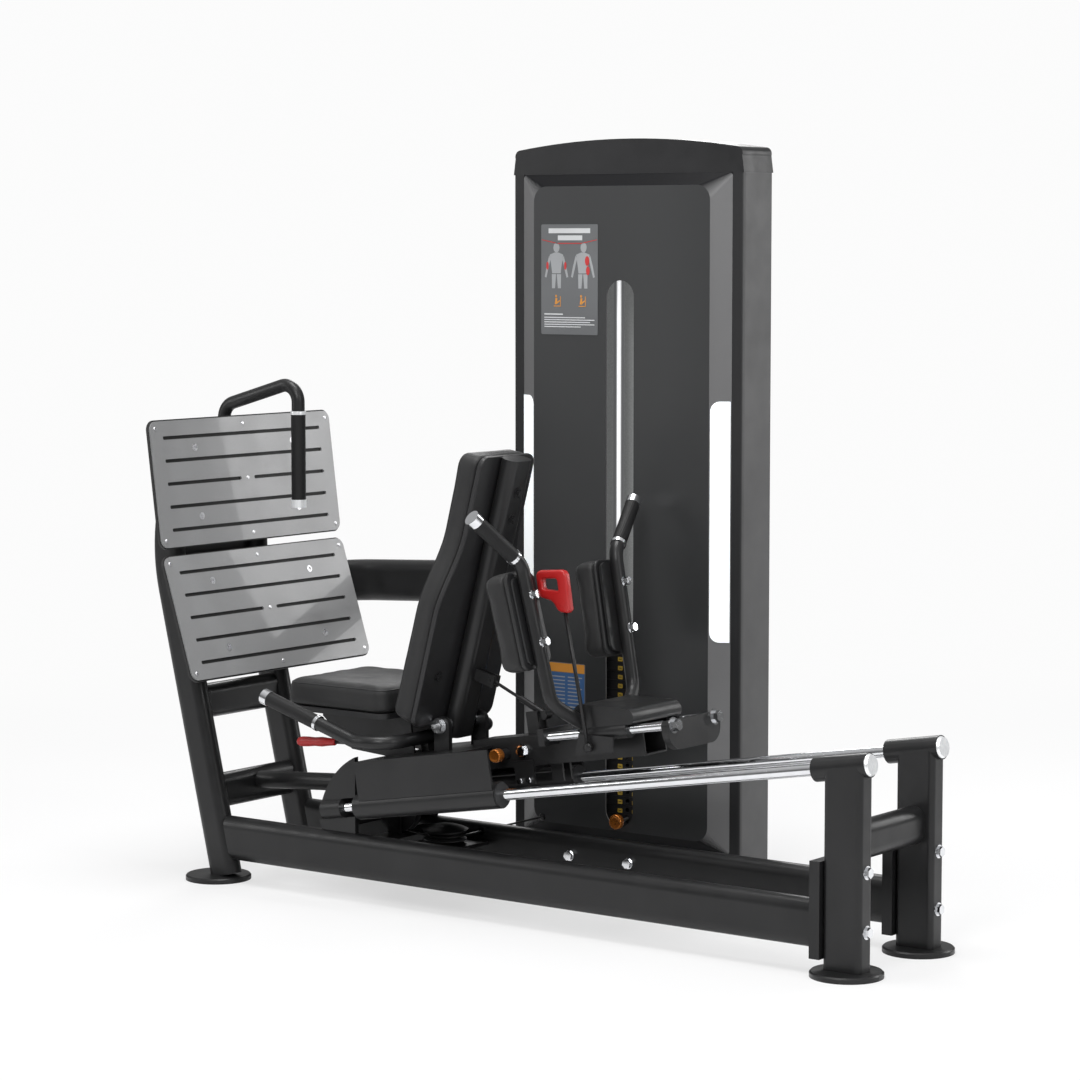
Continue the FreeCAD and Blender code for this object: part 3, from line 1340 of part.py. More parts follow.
def back_outline(inset):
    """The backrest seen from behind: wide below, drawn in by a soft S to a narrow top."""
    wide, narrow = size("back_width_low") / 2 - inset, size("back_width_high") / 2 - inset
    low, high = -10 + inset, -10 + size("back_length") - inset
    taper_low, taper_high, corner = 250, 437, 28
    nick = corner * (1 - math.sqrt(0.5))
    bow = 8
    middle_w, middle_h = (wide + narrow) / 2, (taper_low + taper_high) / 2
    quarter = (taper_high - taper_low) / 4
    shift = (wide - narrow) / 4
    right = [(wide, low + corner), (wide, taper_low),
             [(middle_w + shift + bow / 2, middle_h - quarter), (middle_w, middle_h)],
             [(middle_w - shift - bow / 2, middle_h + quarter), (narrow, taper_high)],
             (narrow, high - corner),
             [(narrow - nick, high - nick), (narrow - corner, high)]]
    left = [(corner - narrow, high), [(nick - narrow, high - nick), (-narrow, high - corner)],
            (-narrow, taper_high),
            [(-middle_w + shift + bow / 2, middle_h + quarter), (-middle_w, middle_h)],
            [(-middle_w - shift - bow / 2, middle_h - quarter), (-wide, taper_low)],
            (-wide, low + corner),
            [(nick - wide, low + nick), (corner - wide, low)],
            (wide - corner, low), [(wide - nick, low + nick), (wide, low + corner)]]
    return right[1:] + left


def build_backrest():
    half_spine = size("spine_depth") / 2
    board = size("board_thickness")
    for label, start, thick, inset in (("backrest_board", half_spine, board, 4),
                                       ("backrest_cushion", half_spine + board,
                                        size("cushion_thickness") - 2, 0)):
        middle = back_point(0, -start - thick / 2)
        body = plate(label + "_body", axes(middle, ACROSS * -1, BACK_REAR * -1),
                     back_outline(inset), thick)
        publish(body, label)

    tube = oval_tube("spine_tube", back_point(-28, 0), back_point(605, 0), "spine_width",
                     "spine_depth", ACROSS)

    def closed(sketch):
        oval(sketch, "spine_width", "spine_depth")

    lid = bar("spine_lid", back_point(605, 0), back_point(611, 0), closed, ACROSS)
    pieces = [tube, lid]
    foot = Vector(STRUT_HEAD[0] - PIVOT[0], 0, STRUT_HEAD[1] - PIVOT[1])
    along_spine, behind = foot.dot(BACK_UP), foot.dot(BACK_REAR)
    frame = axes(back_point(along_spine, 0), BACK_REAR, BACK_UP)
    for side in SIDES:
        lug = box(f"strut_lug_{side}", Vector(18 + (behind - 6) / 2, side * 9, 0), behind - 6, 5, 26,
                  frame)
        pieces.append(lug)
    pieces.append(cylinder("strut_pin", back_point(along_spine, behind, -13),
                           back_point(along_spine, behind, 13), radius=4))
    bore = cylinder("spine_bore", at(PIVOT[0], -60, PIVOT[1]), at(PIVOT[0], 60, PIVOT[1]),
                    radius=size("hinge_pin_diameter") / 2 + 0.05)
    bolts = []
    for number, distance in enumerate((480, 540)):
        bolts.append(hex_bolt(f"spine_bolt_{number}", back_point(distance, half_spine), BACK_REAR,
                              13, 7, 22))
    bolts.append(hex_bolt("board_bolt", back_point(110, -half_spine, -90), BACK_REAR, 13, 6, 22))
    publish(cut("spine", fuse("spine_blank", pieces + bolts), bore), "backrest_spine")


def build_strut():
    """A locking gas strut between the carriage's arm and the backrest's spine."""
    foot, head = at(STRUT_FOOT[0], 0, STRUT_FOOT[1]), at(STRUT_HEAD[0], 0, STRUT_HEAD[1])
    direction = (head - foot).normalize()
    eye = cylinder("strut_foot_eye", foot - ACROSS * 10.5, foot + ACROSS * 10.5, radius=10)
    tube = cylinder("strut_tube", foot + direction * 4, foot + direction * 74, radius=7)
    bore = cylinder("strut_bore", foot + direction * 12, foot + direction * 100, radius=3.6)
    publish(cut("strut_body", fuse("strut_blank", [eye, tube]), bore), "strut_cylinder")
    rod = cylinder("strut_shaft", foot + direction * 46, head - direction * 9, radius=3.5)
    head_eye = cylinder("strut_head_eye", head - ACROSS * 5, head + ACROSS * 5, radius=11)
    head_bore = cylinder("strut_head_bore", head - ACROSS * 9, head + ACROSS * 9, radius=6.6)
    publish(cut("strut_plunger", fuse("strut_rod_blank", [rod, head_eye]), head_bore), "strut_rod")


# ---------------------------------------------------------------- shoulder pads

TUBE_TOP, TUBE_ELBOW, TUBE_END = (-787.0, 171.0, 780.0), (-724.0, 152.0, 487.0), (-689.0, 72.0, 434.0)
PAD_Z = 665.0
STRIP_FORWARD, STRIP_THICKNESS = 13.0, 6.0
SADDLE_FRONT, SADDLE_REAR, SADDLE_TOP = -712.0, -556.0, 482.0
SADDLE_ABOVE, SADDLE_WIDTH = 124.0, 180.0
BOLT_HEIGHTS = (51.0, -51.0)


def tube_point(side, place):
    """A corner of one shoulder tube, mirrored to its side."""
    x, y, z = place
    return at(x, side * y, z)


def pad_axes(side, forward):
    """Axes on a shoulder pad's middle: X across, Y up along the tube and Z out of its back."""
    top, elbow = tube_point(side, TUBE_TOP), tube_point(side, TUBE_ELBOW)
    up = (top - elbow).normalize()
    rearward = Vector(up.z, 0, -up.x).normalize()
    across = up.cross(rearward)
    middle = elbow + up * ((PAD_Z - elbow.z) / up.z)
    inward = across * (-side * size("pad_inset"))
    return axes(middle + inward - rearward * forward, across, rearward)


def grip_direction(side):
    return Vector(-36, side * 121, 103).normalize()


def build_saddle():
    """The rounded block across the slider sleeves, level on top and parallel to the rails below."""
    low_front = rail_point(SADDLE_FRONT, 0, SADDLE_ABOVE)
    low_rear = rail_point(SADDLE_REAR, 0, SADDLE_ABOVE)
    front_z, rear_z = low_front.z, low_rear.z
    return plate("saddle", side_view(0),
                 [(SADDLE_REAR - 10, rear_z - 1.6),
                  [(SADDLE_REAR - 2, rear_z + 2), (SADDLE_REAR, rear_z + 10)],
                  (SADDLE_REAR, SADDLE_TOP - 20),
                  [(SADDLE_REAR - 6, SADDLE_TOP - 6), (SADDLE_REAR - 20, SADDLE_TOP)],
                  (SADDLE_FRONT + 24, SADDLE_TOP),
                  [(SADDLE_FRONT + 7, SADDLE_TOP - 7), (SADDLE_FRONT, SADDLE_TOP - 24)],
                  (SADDLE_FRONT, front_z + 10),
                  [(SADDLE_FRONT + 2, front_z + 3), (SADDLE_FRONT + 8, front_z + 1.4)]],
                 SADDLE_WIDTH)


def build_shoulder_frame():
    """Both bent tubes, the strips behind the pads, the saddle and the slider sleeves."""
    spacing = size("short_rod_spacing") / 2
    pieces, tools = [build_saddle()], []
    rear_edge = SADDLE_REAR + 1
    front_edge = rear_edge - size("slider_sleeve_length")
    for side in SIDES:
        sleeve = cylinder(f"slider_{side}", rail_point(front_edge, side * spacing, SHORT_ROD_ABOVE),
                          rail_point(rear_edge, side * spacing, SHORT_ROD_ABOVE),
                          "slider_sleeve_diameter")
        pieces.append(sleeve)
        tools.append(cylinder(f"slider_bore_{side}", rail_point(-800, side * spacing, SHORT_ROD_ABOVE),
                              rail_point(-430, side * spacing, SHORT_ROD_ABOVE),
                              radius=size("short_rod_diameter") / 2 + 0.05))
        top = tube_point(side, TUBE_TOP)
        corners = [top + grip_direction(side) * size("shoulder_grip_reach"), top,
                   tube_point(side, TUBE_ELBOW), tube_point(side, TUBE_END)]
        pieces.append(bent_round(f"shoulder_tube_{side}", corners, size("shoulder_bend"),
                                 "handle_diameter"))
        pieces.append(plate(f"strip_{side}", pad_axes(side, STRIP_FORWARD),
                            rounded_points(46, 196, 20, (-side * 17, 0)), STRIP_THICKNESS))
    pieces.append(plate("lever_bracket", side_view(-97),
                        [(-700, 372), (-602, 388), (-602, 420), (-690, 420)], 6))
    publish(cut("shoulder_weldment", fuse("shoulder_blank", pieces), fuse("slider_tools", tools)),
            "shoulder_frame")


def shoulder_bolts(side):
    """Two bolts through a shoulder tube, their heads seated on its rear."""
    tube = cylinder(f"seat_of_bolts_{side}", tube_point(side, TUBE_ELBOW),
                    tube_point(side, TUBE_TOP), "handle_diameter")
    frame = pad_axes(side, 0)
    rearward = frame.Rotation.multVec(Vector(0, 0, 1))
    bolts = []
    for number, height in enumerate(BOLT_HEIGHTS):
        foot = frame.multVec(Vector(side * size("pad_inset"), height, 12))
        bolts.append(hex_bolt(f"tube_bolt_{side}_{number}", foot, rearward, 16, 12, 22))
    return cut(f"tube_bolts_{side}", fuse(f"bolt_blanks_{side}", bolts), tube)


def build_shoulder_pads():
    width, height = size("pad_width"), size("pad_height")
    shell, soft = size("pad_back_thickness"), size("pad_thickness")
    backs, cushions = [], []
    for side in SIDES:
        back_axes = pad_axes(side, 16 + shell / 2)
        cushion_axes = pad_axes(side, 16 + shell + soft / 2)
        backs.append(plate(f"pad_back_{side}", back_axes,
                           rounded_points(width - 8, height - 8, 18), shell))
        cushions.append(plate(f"pad_cushion_{side}", cushion_axes,
                              rounded_points(width, height, 22), soft))
    publish(group("backs_of_the_pads", backs), "shoulder_backs")
    publish(group("cushions_of_the_pads", cushions), "shoulder_cushions")


def build_shoulder_grips():
    grips, trim = [], []
    for side in SIDES:
        corner = tube_point(side, TUBE_TOP)
        direction = grip_direction(side)
        sleeve, ring, cap = grip_set(f"shoulder_grip_{side}", corner + direction * 22,
                                     corner + direction * size("shoulder_grip_reach"))
        grips.append(sleeve)
        trim += [ring, cap, shoulder_bolts(side)]
    publish(group("grips_at_the_shoulders", grips), "shoulder_grips")
    publish(group("trim_at_the_shoulders", trim), "shoulder_trim")


def build_release_lever():
    """A looped handle on a long rod that frees the shoulder slider."""
    y = -107
    boss = cylinder("release_boss", at(-660, -112, 394), at(-660, -101, 394), radius=9)
    rod = cylinder("release_rod", at(-660, y, 394), at(-722, y, 690), radius=4)
    grip = plate("release_loop", side_view(y),
                 [(-702, 684), (-714, 758), [(-718, 765), (-726, 767)], (-782, 763),
                  [(-790, 759), (-792, 751)], (-786, 710), (-750, 702), (-736, 680)], 18)
    window = plate("release_window", side_view(y),
                   [(-733, 722), (-737, 750), (-776, 748), (-772, 724)], 40)
    publish(fuse("release_solid", [boss, rod, cut("release_grip", grip, window)]),
            "release_lever")


# ---------------------------------------------------------------- everything together

build_feet()
build_base_rails()
build_front_uprights()
build_footplate(0, UPPER_PLATE, "footplate_upper")
build_footplate(1, LOWER_PLATE, "footplate_lower")
build_footplate_backs()
build_footplate_screws()
build_front_crossbars()
build_frame_ends()
build_rails()
build_gussets()
build_link_beam()
build_end_caps(build_grab_handle())
build_tower_frame()
build_side_covers()
build_header()
build_shrouds()
build_windows()
build_placards()
build_stack_guides()
HEAD_TOP = build_weights()
build_pulleys()
build_pulley_brackets()
build_cable(HEAD_TOP)
build_bushings(build_carriage_frame())
build_carriage_bolts()
build_short_rods()
build_seat()
build_hand_bar()
build_levers()
build_backrest()
build_strut()
build_shoulder_frame()
build_shoulder_pads()
build_shoulder_grips()
build_release_lever()

doc.recompute()
for obj in doc.Objects:
    if "Invalid" in obj.State or "Error" in obj.State:
        raise RuntimeError(f"{obj.Name} did not build: {obj.State}")
for node in NODES:
    if node.Shape.isNull() or not node.Shape.isValid():
        raise RuntimeError(f"{node.Label} has no valid shape")

os.makedirs("parts", exist_ok=True)
overall = FreeCAD.BoundBox()
for node in NODES:
    node.Shape.exportStep(f"parts/{node.Label}.step")
    overall.add(node.Shape.BoundBox)
print(f"{len(NODES)} pieces, {overall.XLength:.1f} x {overall.YLength:.1f} x {overall.ZLength:.1f}")
print(f"middle {overall.Center.x:.2f}, {overall.Center.y:.2f}, lowest {overall.ZMin:.2f}")
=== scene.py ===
import bmesh
import bpy
import json
import math
from mathutils import Matrix, Vector
from mathutils.bvhtree import BVHTree


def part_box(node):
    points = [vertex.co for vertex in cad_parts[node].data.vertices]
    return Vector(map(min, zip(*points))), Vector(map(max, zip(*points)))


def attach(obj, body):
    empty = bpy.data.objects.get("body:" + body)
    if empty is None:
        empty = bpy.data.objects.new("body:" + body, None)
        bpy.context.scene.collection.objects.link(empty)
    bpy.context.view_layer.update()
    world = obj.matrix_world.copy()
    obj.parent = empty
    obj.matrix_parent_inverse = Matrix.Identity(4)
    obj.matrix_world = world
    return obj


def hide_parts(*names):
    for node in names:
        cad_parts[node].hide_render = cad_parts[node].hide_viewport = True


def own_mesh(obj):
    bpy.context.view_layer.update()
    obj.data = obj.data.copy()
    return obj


# A seated leg press: satin black frame, vinyl pads, grey footplates and a shrouded weight tower.
# Everything is in metres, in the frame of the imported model.

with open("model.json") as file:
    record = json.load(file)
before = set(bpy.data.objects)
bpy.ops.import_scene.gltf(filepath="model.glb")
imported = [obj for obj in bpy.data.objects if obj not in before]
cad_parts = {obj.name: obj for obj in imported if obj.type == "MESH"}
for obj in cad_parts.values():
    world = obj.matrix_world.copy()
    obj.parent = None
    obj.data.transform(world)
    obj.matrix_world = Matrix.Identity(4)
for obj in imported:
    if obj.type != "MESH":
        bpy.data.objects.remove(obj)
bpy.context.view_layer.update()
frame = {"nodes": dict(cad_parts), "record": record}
JOINTS = {joint["name"]: joint for joint in frame["record"]["behaviour"]["joints"]}
X, Y, Z = Vector((1, 0, 0)), Vector((0, 1, 0)), Vector((0, 0, 1))
PIVOT = Vector(JOINTS["backrest_recline"]["pos_m"])
CENTRE_Y = PIVOT.y
ALONG_RAIL = Vector(JOINTS["carriage_slide"]["axis"])
ABOVE_RAIL = Vector((-ALONG_RAIL.z, 0, ALONG_RAIL.x))
MM = 0.001


# ---------------------------------------------------------------- materials

class Shader:
    """A short way to build one node material."""

    def __init__(self, name):
        self.material = bpy.data.materials.new(name)
        self.material.use_nodes = True
        self.nodes = self.material.node_tree.nodes
        self.links = self.material.node_tree.links
        self.bsdf = self.nodes["Principled BSDF"]
        self.place = self.add("ShaderNodeTexCoord").outputs["Object"]

    def add(self, kind, **values):
        node = self.nodes.new(kind)
        for key, value in values.items():
            if key in node.inputs:
                node.inputs[key].default_value = value
            else:
                setattr(node, key, value)
        return node

    def link(self, output, target):
        self.links.new(output, target)

    def noise(self, scale, detail=3.0, stretch=None):
        texture = self.add("ShaderNodeTexNoise", Scale=scale, Detail=detail)
        source = self.place
        if stretch:
            mapping = self.add("ShaderNodeMapping")
            mapping.inputs["Scale"].default_value = stretch
            self.link(source, mapping.inputs["Vector"])
            source = mapping.outputs["Vector"]
        self.link(source, texture.inputs["Vector"])
        return texture.outputs["Fac"]

    def between(self, factor, low, high, start=0.3, end=0.7):
        """Maps a 0..1 output onto values or colours."""
        ramp = self.add("ShaderNodeValToRGB")
        stops = ramp.color_ramp.elements
        stops[0].position, stops[1].position = start, end
        for stop, value in zip(stops, (low, high)):
            stop.color = (value, value, value, 1) if isinstance(value, float) else (*value, 1)
        self.link(factor, ramp.inputs["Fac"])
        return ramp.outputs["Color"]

    def bump(self, height, strength, distance, below=None):
        """Raises the surface by a height output, on top of the normal given as below."""
        node = self.add("ShaderNodeBump", Strength=strength, Distance=distance)
        self.link(height, node.inputs["Height"])
        if below:
            self.link(below, node.inputs["Normal"])
        return node.outputs["Normal"]

    def facing(self, axis, start, end, absolute=True):
        """How far a face turns towards an axis, as 0 at start and 1 at end."""
        split = self.add("ShaderNodeSeparateXYZ")
        self.link(self.add("ShaderNodeNewGeometry").outputs["True Normal"], split.inputs["Vector"])
        value = split.outputs[axis]
        if absolute:
            size = self.add("ShaderNodeMath", operation="ABSOLUTE")
            self.link(value, size.inputs[0])
            value = size.outputs["Value"]
        span = self.add("ShaderNodeMapRange")
        span.inputs["From Min"].default_value = start
        span.inputs["From Max"].default_value = end
        self.link(value, span.inputs["Value"])
        return span.outputs["Result"]

    def blend(self, factor, first, second):
        """Mixes two colours, each an output or a plain colour."""
        mix = self.add("ShaderNodeMix", data_type="RGBA")
        self.link(factor, mix.inputs["Factor"])
        for socket, value in ((mix.inputs["A"], first), (mix.inputs["B"], second)):
            if isinstance(value, tuple):
                socket.default_value = (*value, 1)
            else:
                self.link(value, socket)
        return mix.outputs["Result"]

    def set(self, **values):
        for key, value in values.items():
            self.bsdf.inputs[key.replace("_", " ")].default_value = value


def shade(colour, amount):
    return tuple(min(1.0, channel * amount) for channel in colour)


def powder_coat(name, colour, roughness):
    """Satin powder coat: a fine orange peel, slight unevenness and faint scuffs."""
    s = Shader(name)
    tone = s.between(s.noise(7.0, 4.0), shade(colour, 0.86), shade(colour, 1.16))
    s.link(tone, s.bsdf.inputs["Base Color"])
    rough = s.between(s.noise(22.0, 6.0), roughness - 0.05, roughness + 0.08)
    s.link(rough, s.bsdf.inputs["Roughness"])
    peel = s.bump(s.noise(750.0, 2.0), 0.10, 0.0006)
    wavy = s.bump(s.noise(120.0, 2.0), 0.05, 0.0012, below=peel)
    s.link(wavy, s.bsdf.inputs["Normal"])
    s.set(Specular_IOR_Level=0.36)
    return s.material


def vinyl(name, colour):
    """Upholstery vinyl: pebbled grain with soft creases between the cells."""
    s = Shader(name)
    tone = s.between(s.noise(9.0, 5.0), shade(colour, 0.8), shade(colour, 1.25))
    s.link(tone, s.bsdf.inputs["Base Color"])
    cells = s.add("ShaderNodeTexVoronoi", Scale=620.0, feature="DISTANCE_TO_EDGE")
    s.link(s.place, cells.inputs["Vector"])
    pebble = s.between(cells.outputs["Distance"], 0.0, 1.0, 0.0, 0.22)
    grain = s.bump(pebble, 0.22, 0.0005)
    soft = s.bump(s.noise(60.0, 4.0), 0.10, 0.0016, below=grain)
    s.link(soft, s.bsdf.inputs["Normal"])
    rough = s.between(s.noise(30.0, 5.0), 0.50, 0.62)
    s.link(rough, s.bsdf.inputs["Roughness"])
    s.set(Specular_IOR_Level=0.42, Sheen_Weight=0.06, Sheen_Roughness=0.5)
    return s.material


def moulded_plastic(name, colour, roughness, grain=900.0, depth=0.0006, strength=0.14):
    """Moulded or printed plastic: an even tone with a fine moulded grain."""
    s = Shader(name)
    tone = s.between(s.noise(5.0, 3.0), shade(colour, 0.9), shade(colour, 1.1))
    s.link(tone, s.bsdf.inputs["Base Color"])
    s.link(s.between(s.noise(18.0, 4.0), roughness - 0.05, roughness + 0.07),
           s.bsdf.inputs["Roughness"])
    s.link(s.bump(s.noise(grain, 3.0), strength, depth), s.bsdf.inputs["Normal"])
    return s.material


def polished_metal(name, colour):
    """Chrome plate, slightly uneven in tone and gloss."""
    s = Shader(name)
    roughness = 0.09
    s.link(s.between(s.noise(40.0, 5.0), shade(colour, 0.93), colour), s.bsdf.inputs["Base Color"])
    s.link(s.between(s.noise(55.0, 6.0), roughness * 0.7, roughness * 1.7),
           s.bsdf.inputs["Roughness"])
    s.link(s.bump(s.noise(260.0, 2.0), 0.02, 0.0005), s.bsdf.inputs["Normal"])
    s.set(Metallic=1.0)
    return s.material


def hairline_metal(name, colour, roughness, stretch):
    """Finely brushed sheet: long scratches along one axis under a thin lacquer."""
    s = Shader(name)
    scratches = s.noise(900.0, 2.0, stretch)
    tone = s.between(scratches, shade(colour, 0.90), shade(colour, 1.10))
    s.link(tone, s.bsdf.inputs["Base Color"])
    s.link(s.between(s.noise(12.0, 4.0), roughness - 0.04, roughness + 0.06),
           s.bsdf.inputs["Roughness"])
    s.link(s.bump(scratches, 0.06, 0.0003), s.bsdf.inputs["Normal"])
    s.set(Metallic=0.75, Coat_Weight=0.25, Coat_Roughness=0.18)
    return s.material


def ribbed_rubber(name, colour, direction):
    """Grip rubber: fine rings along the grip, dusty in the hollows."""
    s = Shader(name)
    mapping = s.add("ShaderNodeMapping")
    turn = Vector(direction).normalized().rotation_difference(X).to_euler()
    mapping.vector_type = "TEXTURE"
    mapping.inputs["Rotation"].default_value = turn
    s.link(s.place, mapping.inputs["Vector"])
    rings = s.add("ShaderNodeTexWave", Scale=110.0, wave_profile="SIN", bands_direction="X")
    s.link(mapping.outputs["Vector"], rings.inputs["Vector"])
    tone = s.between(rings.outputs["Fac"], shade(colour, 1.35), colour, 0.2, 0.8)
    s.link(tone, s.bsdf.inputs["Base Color"])
    ribs = s.bump(rings.outputs["Fac"], 0.35, 0.0007)
    s.link(s.bump(s.noise(700.0, 2.0), 0.12, 0.0004, below=ribs), s.bsdf.inputs["Normal"])
    s.set(Roughness=0.5, Specular_IOR_Level=0.3)
    return s.material


def opal(name):
    """Milky window with some emission, so that it is as white as the strips in the picture."""
    s = Shader(name)
    s.link(s.between(s.noise(4.0, 2.0), (0.93, 0.93, 0.93), (0.98, 0.98, 0.98)),
           s.bsdf.inputs["Base Color"])
    s.link(s.bump(s.noise(260.0, 2.0), 0.05, 0.0004), s.bsdf.inputs["Normal"])
    s.set(Roughness=0.25, Subsurface_Weight=0.2, Emission_Color=(1.0, 1.0, 1.0, 1),
          Emission_Strength=0.45)
    return s.material


def shroud_interior(name):
    """Sheet behind the slot: its inner face painted pale grey and faintly glowing as painted light, to
    lift the slot; its outer face near black.
    """
    s = Shader(name)
    # Pale grey with a fine speckle on the inner face: painted light behind the slot.
    painted_light_speckle = s.between(s.noise(300.0, 3.0), (0.31, 0.318, 0.316), (0.39, 0.398, 0.396))
    colour = s.blend(s.facing("Y", 0.0, -0.1, absolute=False), (0.035, 0.036, 0.038), painted_light_speckle)
    s.link(colour, s.bsdf.inputs["Base Color"])
    # The colour also glows as painted light, strongest on the pale inner face.
    s.link(colour, s.bsdf.inputs["Emission Color"])
    s.set(Roughness=0.55, Emission_Strength=0.28)
    s.link(s.bump(s.noise(420.0, 3.0), 0.2, 0.0006), s.bsdf.inputs["Normal"])
    return s.material


def tinted_panel(name):
    """Dark smoked panel with fine grain and vertical streaks of painted sheen; its side walls painted
    paler as painted light and its top wall painted darker as painted shade.
    """
    s = Shader(name)
    # Vertical streaks, lighter where glossier: a painted sheen on the smoked tone.
    painted_sheen_streaks = s.noise(4.0, 0.0, (1.0, 1.0, 0.06))
    smoked = s.between(painted_sheen_streaks, (0.018, 0.019, 0.020), (0.044, 0.045, 0.046), 0.2, 0.8)
    # Faces turned up or down are painted near black: painted shade on the top wall.
    top_painted_shade = s.blend(s.facing("Z", 0.10, 0.3), smoked, (0.010, 0.010, 0.011))
    # Faces turned along X are painted paler: painted light on the side walls.
    painted_light_walls = s.between(s.noise(3.0, 2.0, (1.0, 1.0, 0.4)), (0.125, 0.125, 0.127),
                      (0.165, 0.165, 0.167))
    s.link(s.blend(s.facing("X", 0.12, 0.35), top_painted_shade, painted_light_walls), s.bsdf.inputs["Base Color"])
    s.link(s.between(painted_sheen_streaks, 0.42, 0.28, 0.2, 0.8), s.bsdf.inputs["Roughness"])
    # Less specular on the top wall, as part of its painted shade.
    s.link(s.between(s.facing("Z", 0.10, 0.3), 0.45, 0.06, 0.0, 1.0),
           s.bsdf.inputs["Specular IOR Level"])
    true_normal = s.add("ShaderNodeNewGeometry").outputs["True Normal"]
    s.link(s.bump(s.noise(650.0, 2.0), 0.16, 0.0005, below=true_normal),
           s.bsdf.inputs["Normal"])
    return s.material


def tread_metal(name):
    """Silver-grey lacquered sheet with a fine metal flake and a few shoe scuffs."""
    s = Shader(name)
    flake = s.between(s.noise(1400.0, 1.0), (0.245, 0.247, 0.250), (0.300, 0.302, 0.305))
    scuffs = s.between(s.noise(9.0, 6.0, (3.0, 0.5, 1.0)), 0.0, 1.0, 0.62, 0.78)
    s.link(s.blend(scuffs, flake, (0.225, 0.225, 0.227)), s.bsdf.inputs["Base Color"])
    s.link(s.between(s.noise(14.0, 5.0), 0.36, 0.48), s.bsdf.inputs["Roughness"])
    s.link(s.bump(s.noise(900.0, 1.0), 0.04, 0.0003), s.bsdf.inputs["Normal"])
    s.set(Metallic=0.12, Coat_Weight=0.35, Coat_Roughness=0.05)
    return s.material


def tower_coat(name):
    """Powder coat that is mid grey on the tower's flanks and near black on its front edges."""
    s = Shader(name)
    flank = s.between(s.noise(6.0, 4.0), (0.082, 0.082, 0.083), (0.100, 0.100, 0.101))
    s.link(s.blend(s.facing("X", 0.5, 0.8), (0.016, 0.016, 0.017), flank),
           s.bsdf.inputs["Base Color"])
    s.link(s.between(s.noise(22.0, 6.0), 0.48, 0.60), s.bsdf.inputs["Roughness"])
    s.link(s.bump(s.noise(700.0, 2.0), 0.12, 0.0006), s.bsdf.inputs["Normal"])
    s.set(Specular_IOR_Level=0.35)
    return s.material


def bright_steel(name, glow):
    """Ground steel with some emission, in place of light that the studio does not bring there."""
    s = Shader(name)
    s.link(s.between(s.noise(600.0, 2.0, (1.0, 1.0, 0.05)), (0.66, 0.67, 0.68),
                     (0.86, 0.87, 0.88)), s.bsdf.inputs["Base Color"])
    s.link(s.bump(s.noise(900.0, 1.0, (1.0, 1.0, 0.1)), 0.05, 0.0002), s.bsdf.inputs["Normal"])
    s.set(Metallic=0.7, Roughness=0.3, Emission_Color=(0.9, 0.92, 0.93, 1),
          Emission_Strength=glow)
    return s.material


def rod_steel(name):
    """Ground guide rod: an emissive core on the side that faces the eye, in place of a
    reflection, between dark flanks."""
    s = Shader(name)
    turned_away = s.add("ShaderNodeLayerWeight").outputs["Facing"]
    core = s.between(turned_away, (0.90, 0.91, 0.92), (0.10, 0.102, 0.104), 0.02, 0.12)
    s.link(core, s.bsdf.inputs["Base Color"])
    s.link(core, s.bsdf.inputs["Emission Color"])
    s.link(s.bump(s.noise(900.0, 1.0, (1.0, 1.0, 0.1)), 0.05, 0.0002), s.bsdf.inputs["Normal"])
    s.set(Metallic=0.5, Roughness=0.35, Emission_Strength=0.9)
    return s.material


MATERIALS = {
    "frame_black": powder_coat("powder_coat_black", (0.0135, 0.0135, 0.0140), 0.33),
    "shroud_grey": tinted_panel("smoked_panel"),
    "inside_grey": shroud_interior("shroud_inside"),
    "side_grey": tower_coat("tower_coat_grey"),
    "bright_steel": bright_steel("bright_steel", 0.85),
    "cap_steel": bright_steel("cap_steel", 0.22),
    "rod_steel": rod_steel("rod_steel"),
    "header_black": powder_coat("header_coat", (0.016, 0.016, 0.017), 0.38),
    "board_black": moulded_plastic("board_plastic", (0.015, 0.015, 0.016), 0.46),
    "backing_black": moulded_plastic("backing_plastic", (0.016, 0.016, 0.016), 0.6),
    "vinyl_black": vinyl("upholstery_vinyl", (0.012, 0.012, 0.0125)),
    "footplate_grey": tread_metal("tread_metal"),
    "chrome": polished_metal("chrome", (0.80, 0.81, 0.83)),
    "steel": hairline_metal("turned_steel", (0.55, 0.55, 0.57), 0.28, (1.0, 1.0, 0.1)),
    "rubber_black": ribbed_rubber("grip_rubber", (0.0075, 0.0075, 0.0078), (1, 0, -0.3)),
    "window_opal": opal("opal_window"),
    "placard": moulded_plastic("placard_film", (0.13, 0.135, 0.14), 0.34, 300.0, 0.0002, 0.05),
    "weights_black": powder_coat("weight_enamel", (0.020, 0.020, 0.021), 0.45),
    "pulley_black": moulded_plastic("pulley_nylon", (0.018, 0.018, 0.019), 0.42),
    "cable_black": moulded_plastic("cable_jacket", (0.016, 0.016, 0.016), 0.35),
    "orange": hairline_metal("orange_anodised", (0.58, 0.19, 0.03), 0.26, (1.0, 1.0, 0.2)),
    "red": moulded_plastic("red_nylon", (0.42, 0.014, 0.014), 0.34, 500.0, 0.0003, 0.08),
    "print_white": moulded_plastic("print_white", (0.60, 0.61, 0.62), 0.4),
    "print_grey": moulded_plastic("print_light_grey", (0.33, 0.34, 0.35), 0.4),
    "print_dark": moulded_plastic("print_dark", (0.022, 0.022, 0.026), 0.4),
    "print_red": moulded_plastic("print_red", (0.50, 0.03, 0.03), 0.4),
    "print_blue": moulded_plastic("print_blue", (0.045, 0.115, 0.27), 0.4),
    "print_orange": moulded_plastic("print_orange", (0.62, 0.26, 0.04), 0.4),
    "print_yellow": moulded_plastic("print_yellow", (0.62, 0.42, 0.06), 0.4),
}


def paint(obj, slot_name):
    obj.data.materials.clear()
    obj.data.materials.append(MATERIALS[slot_name])


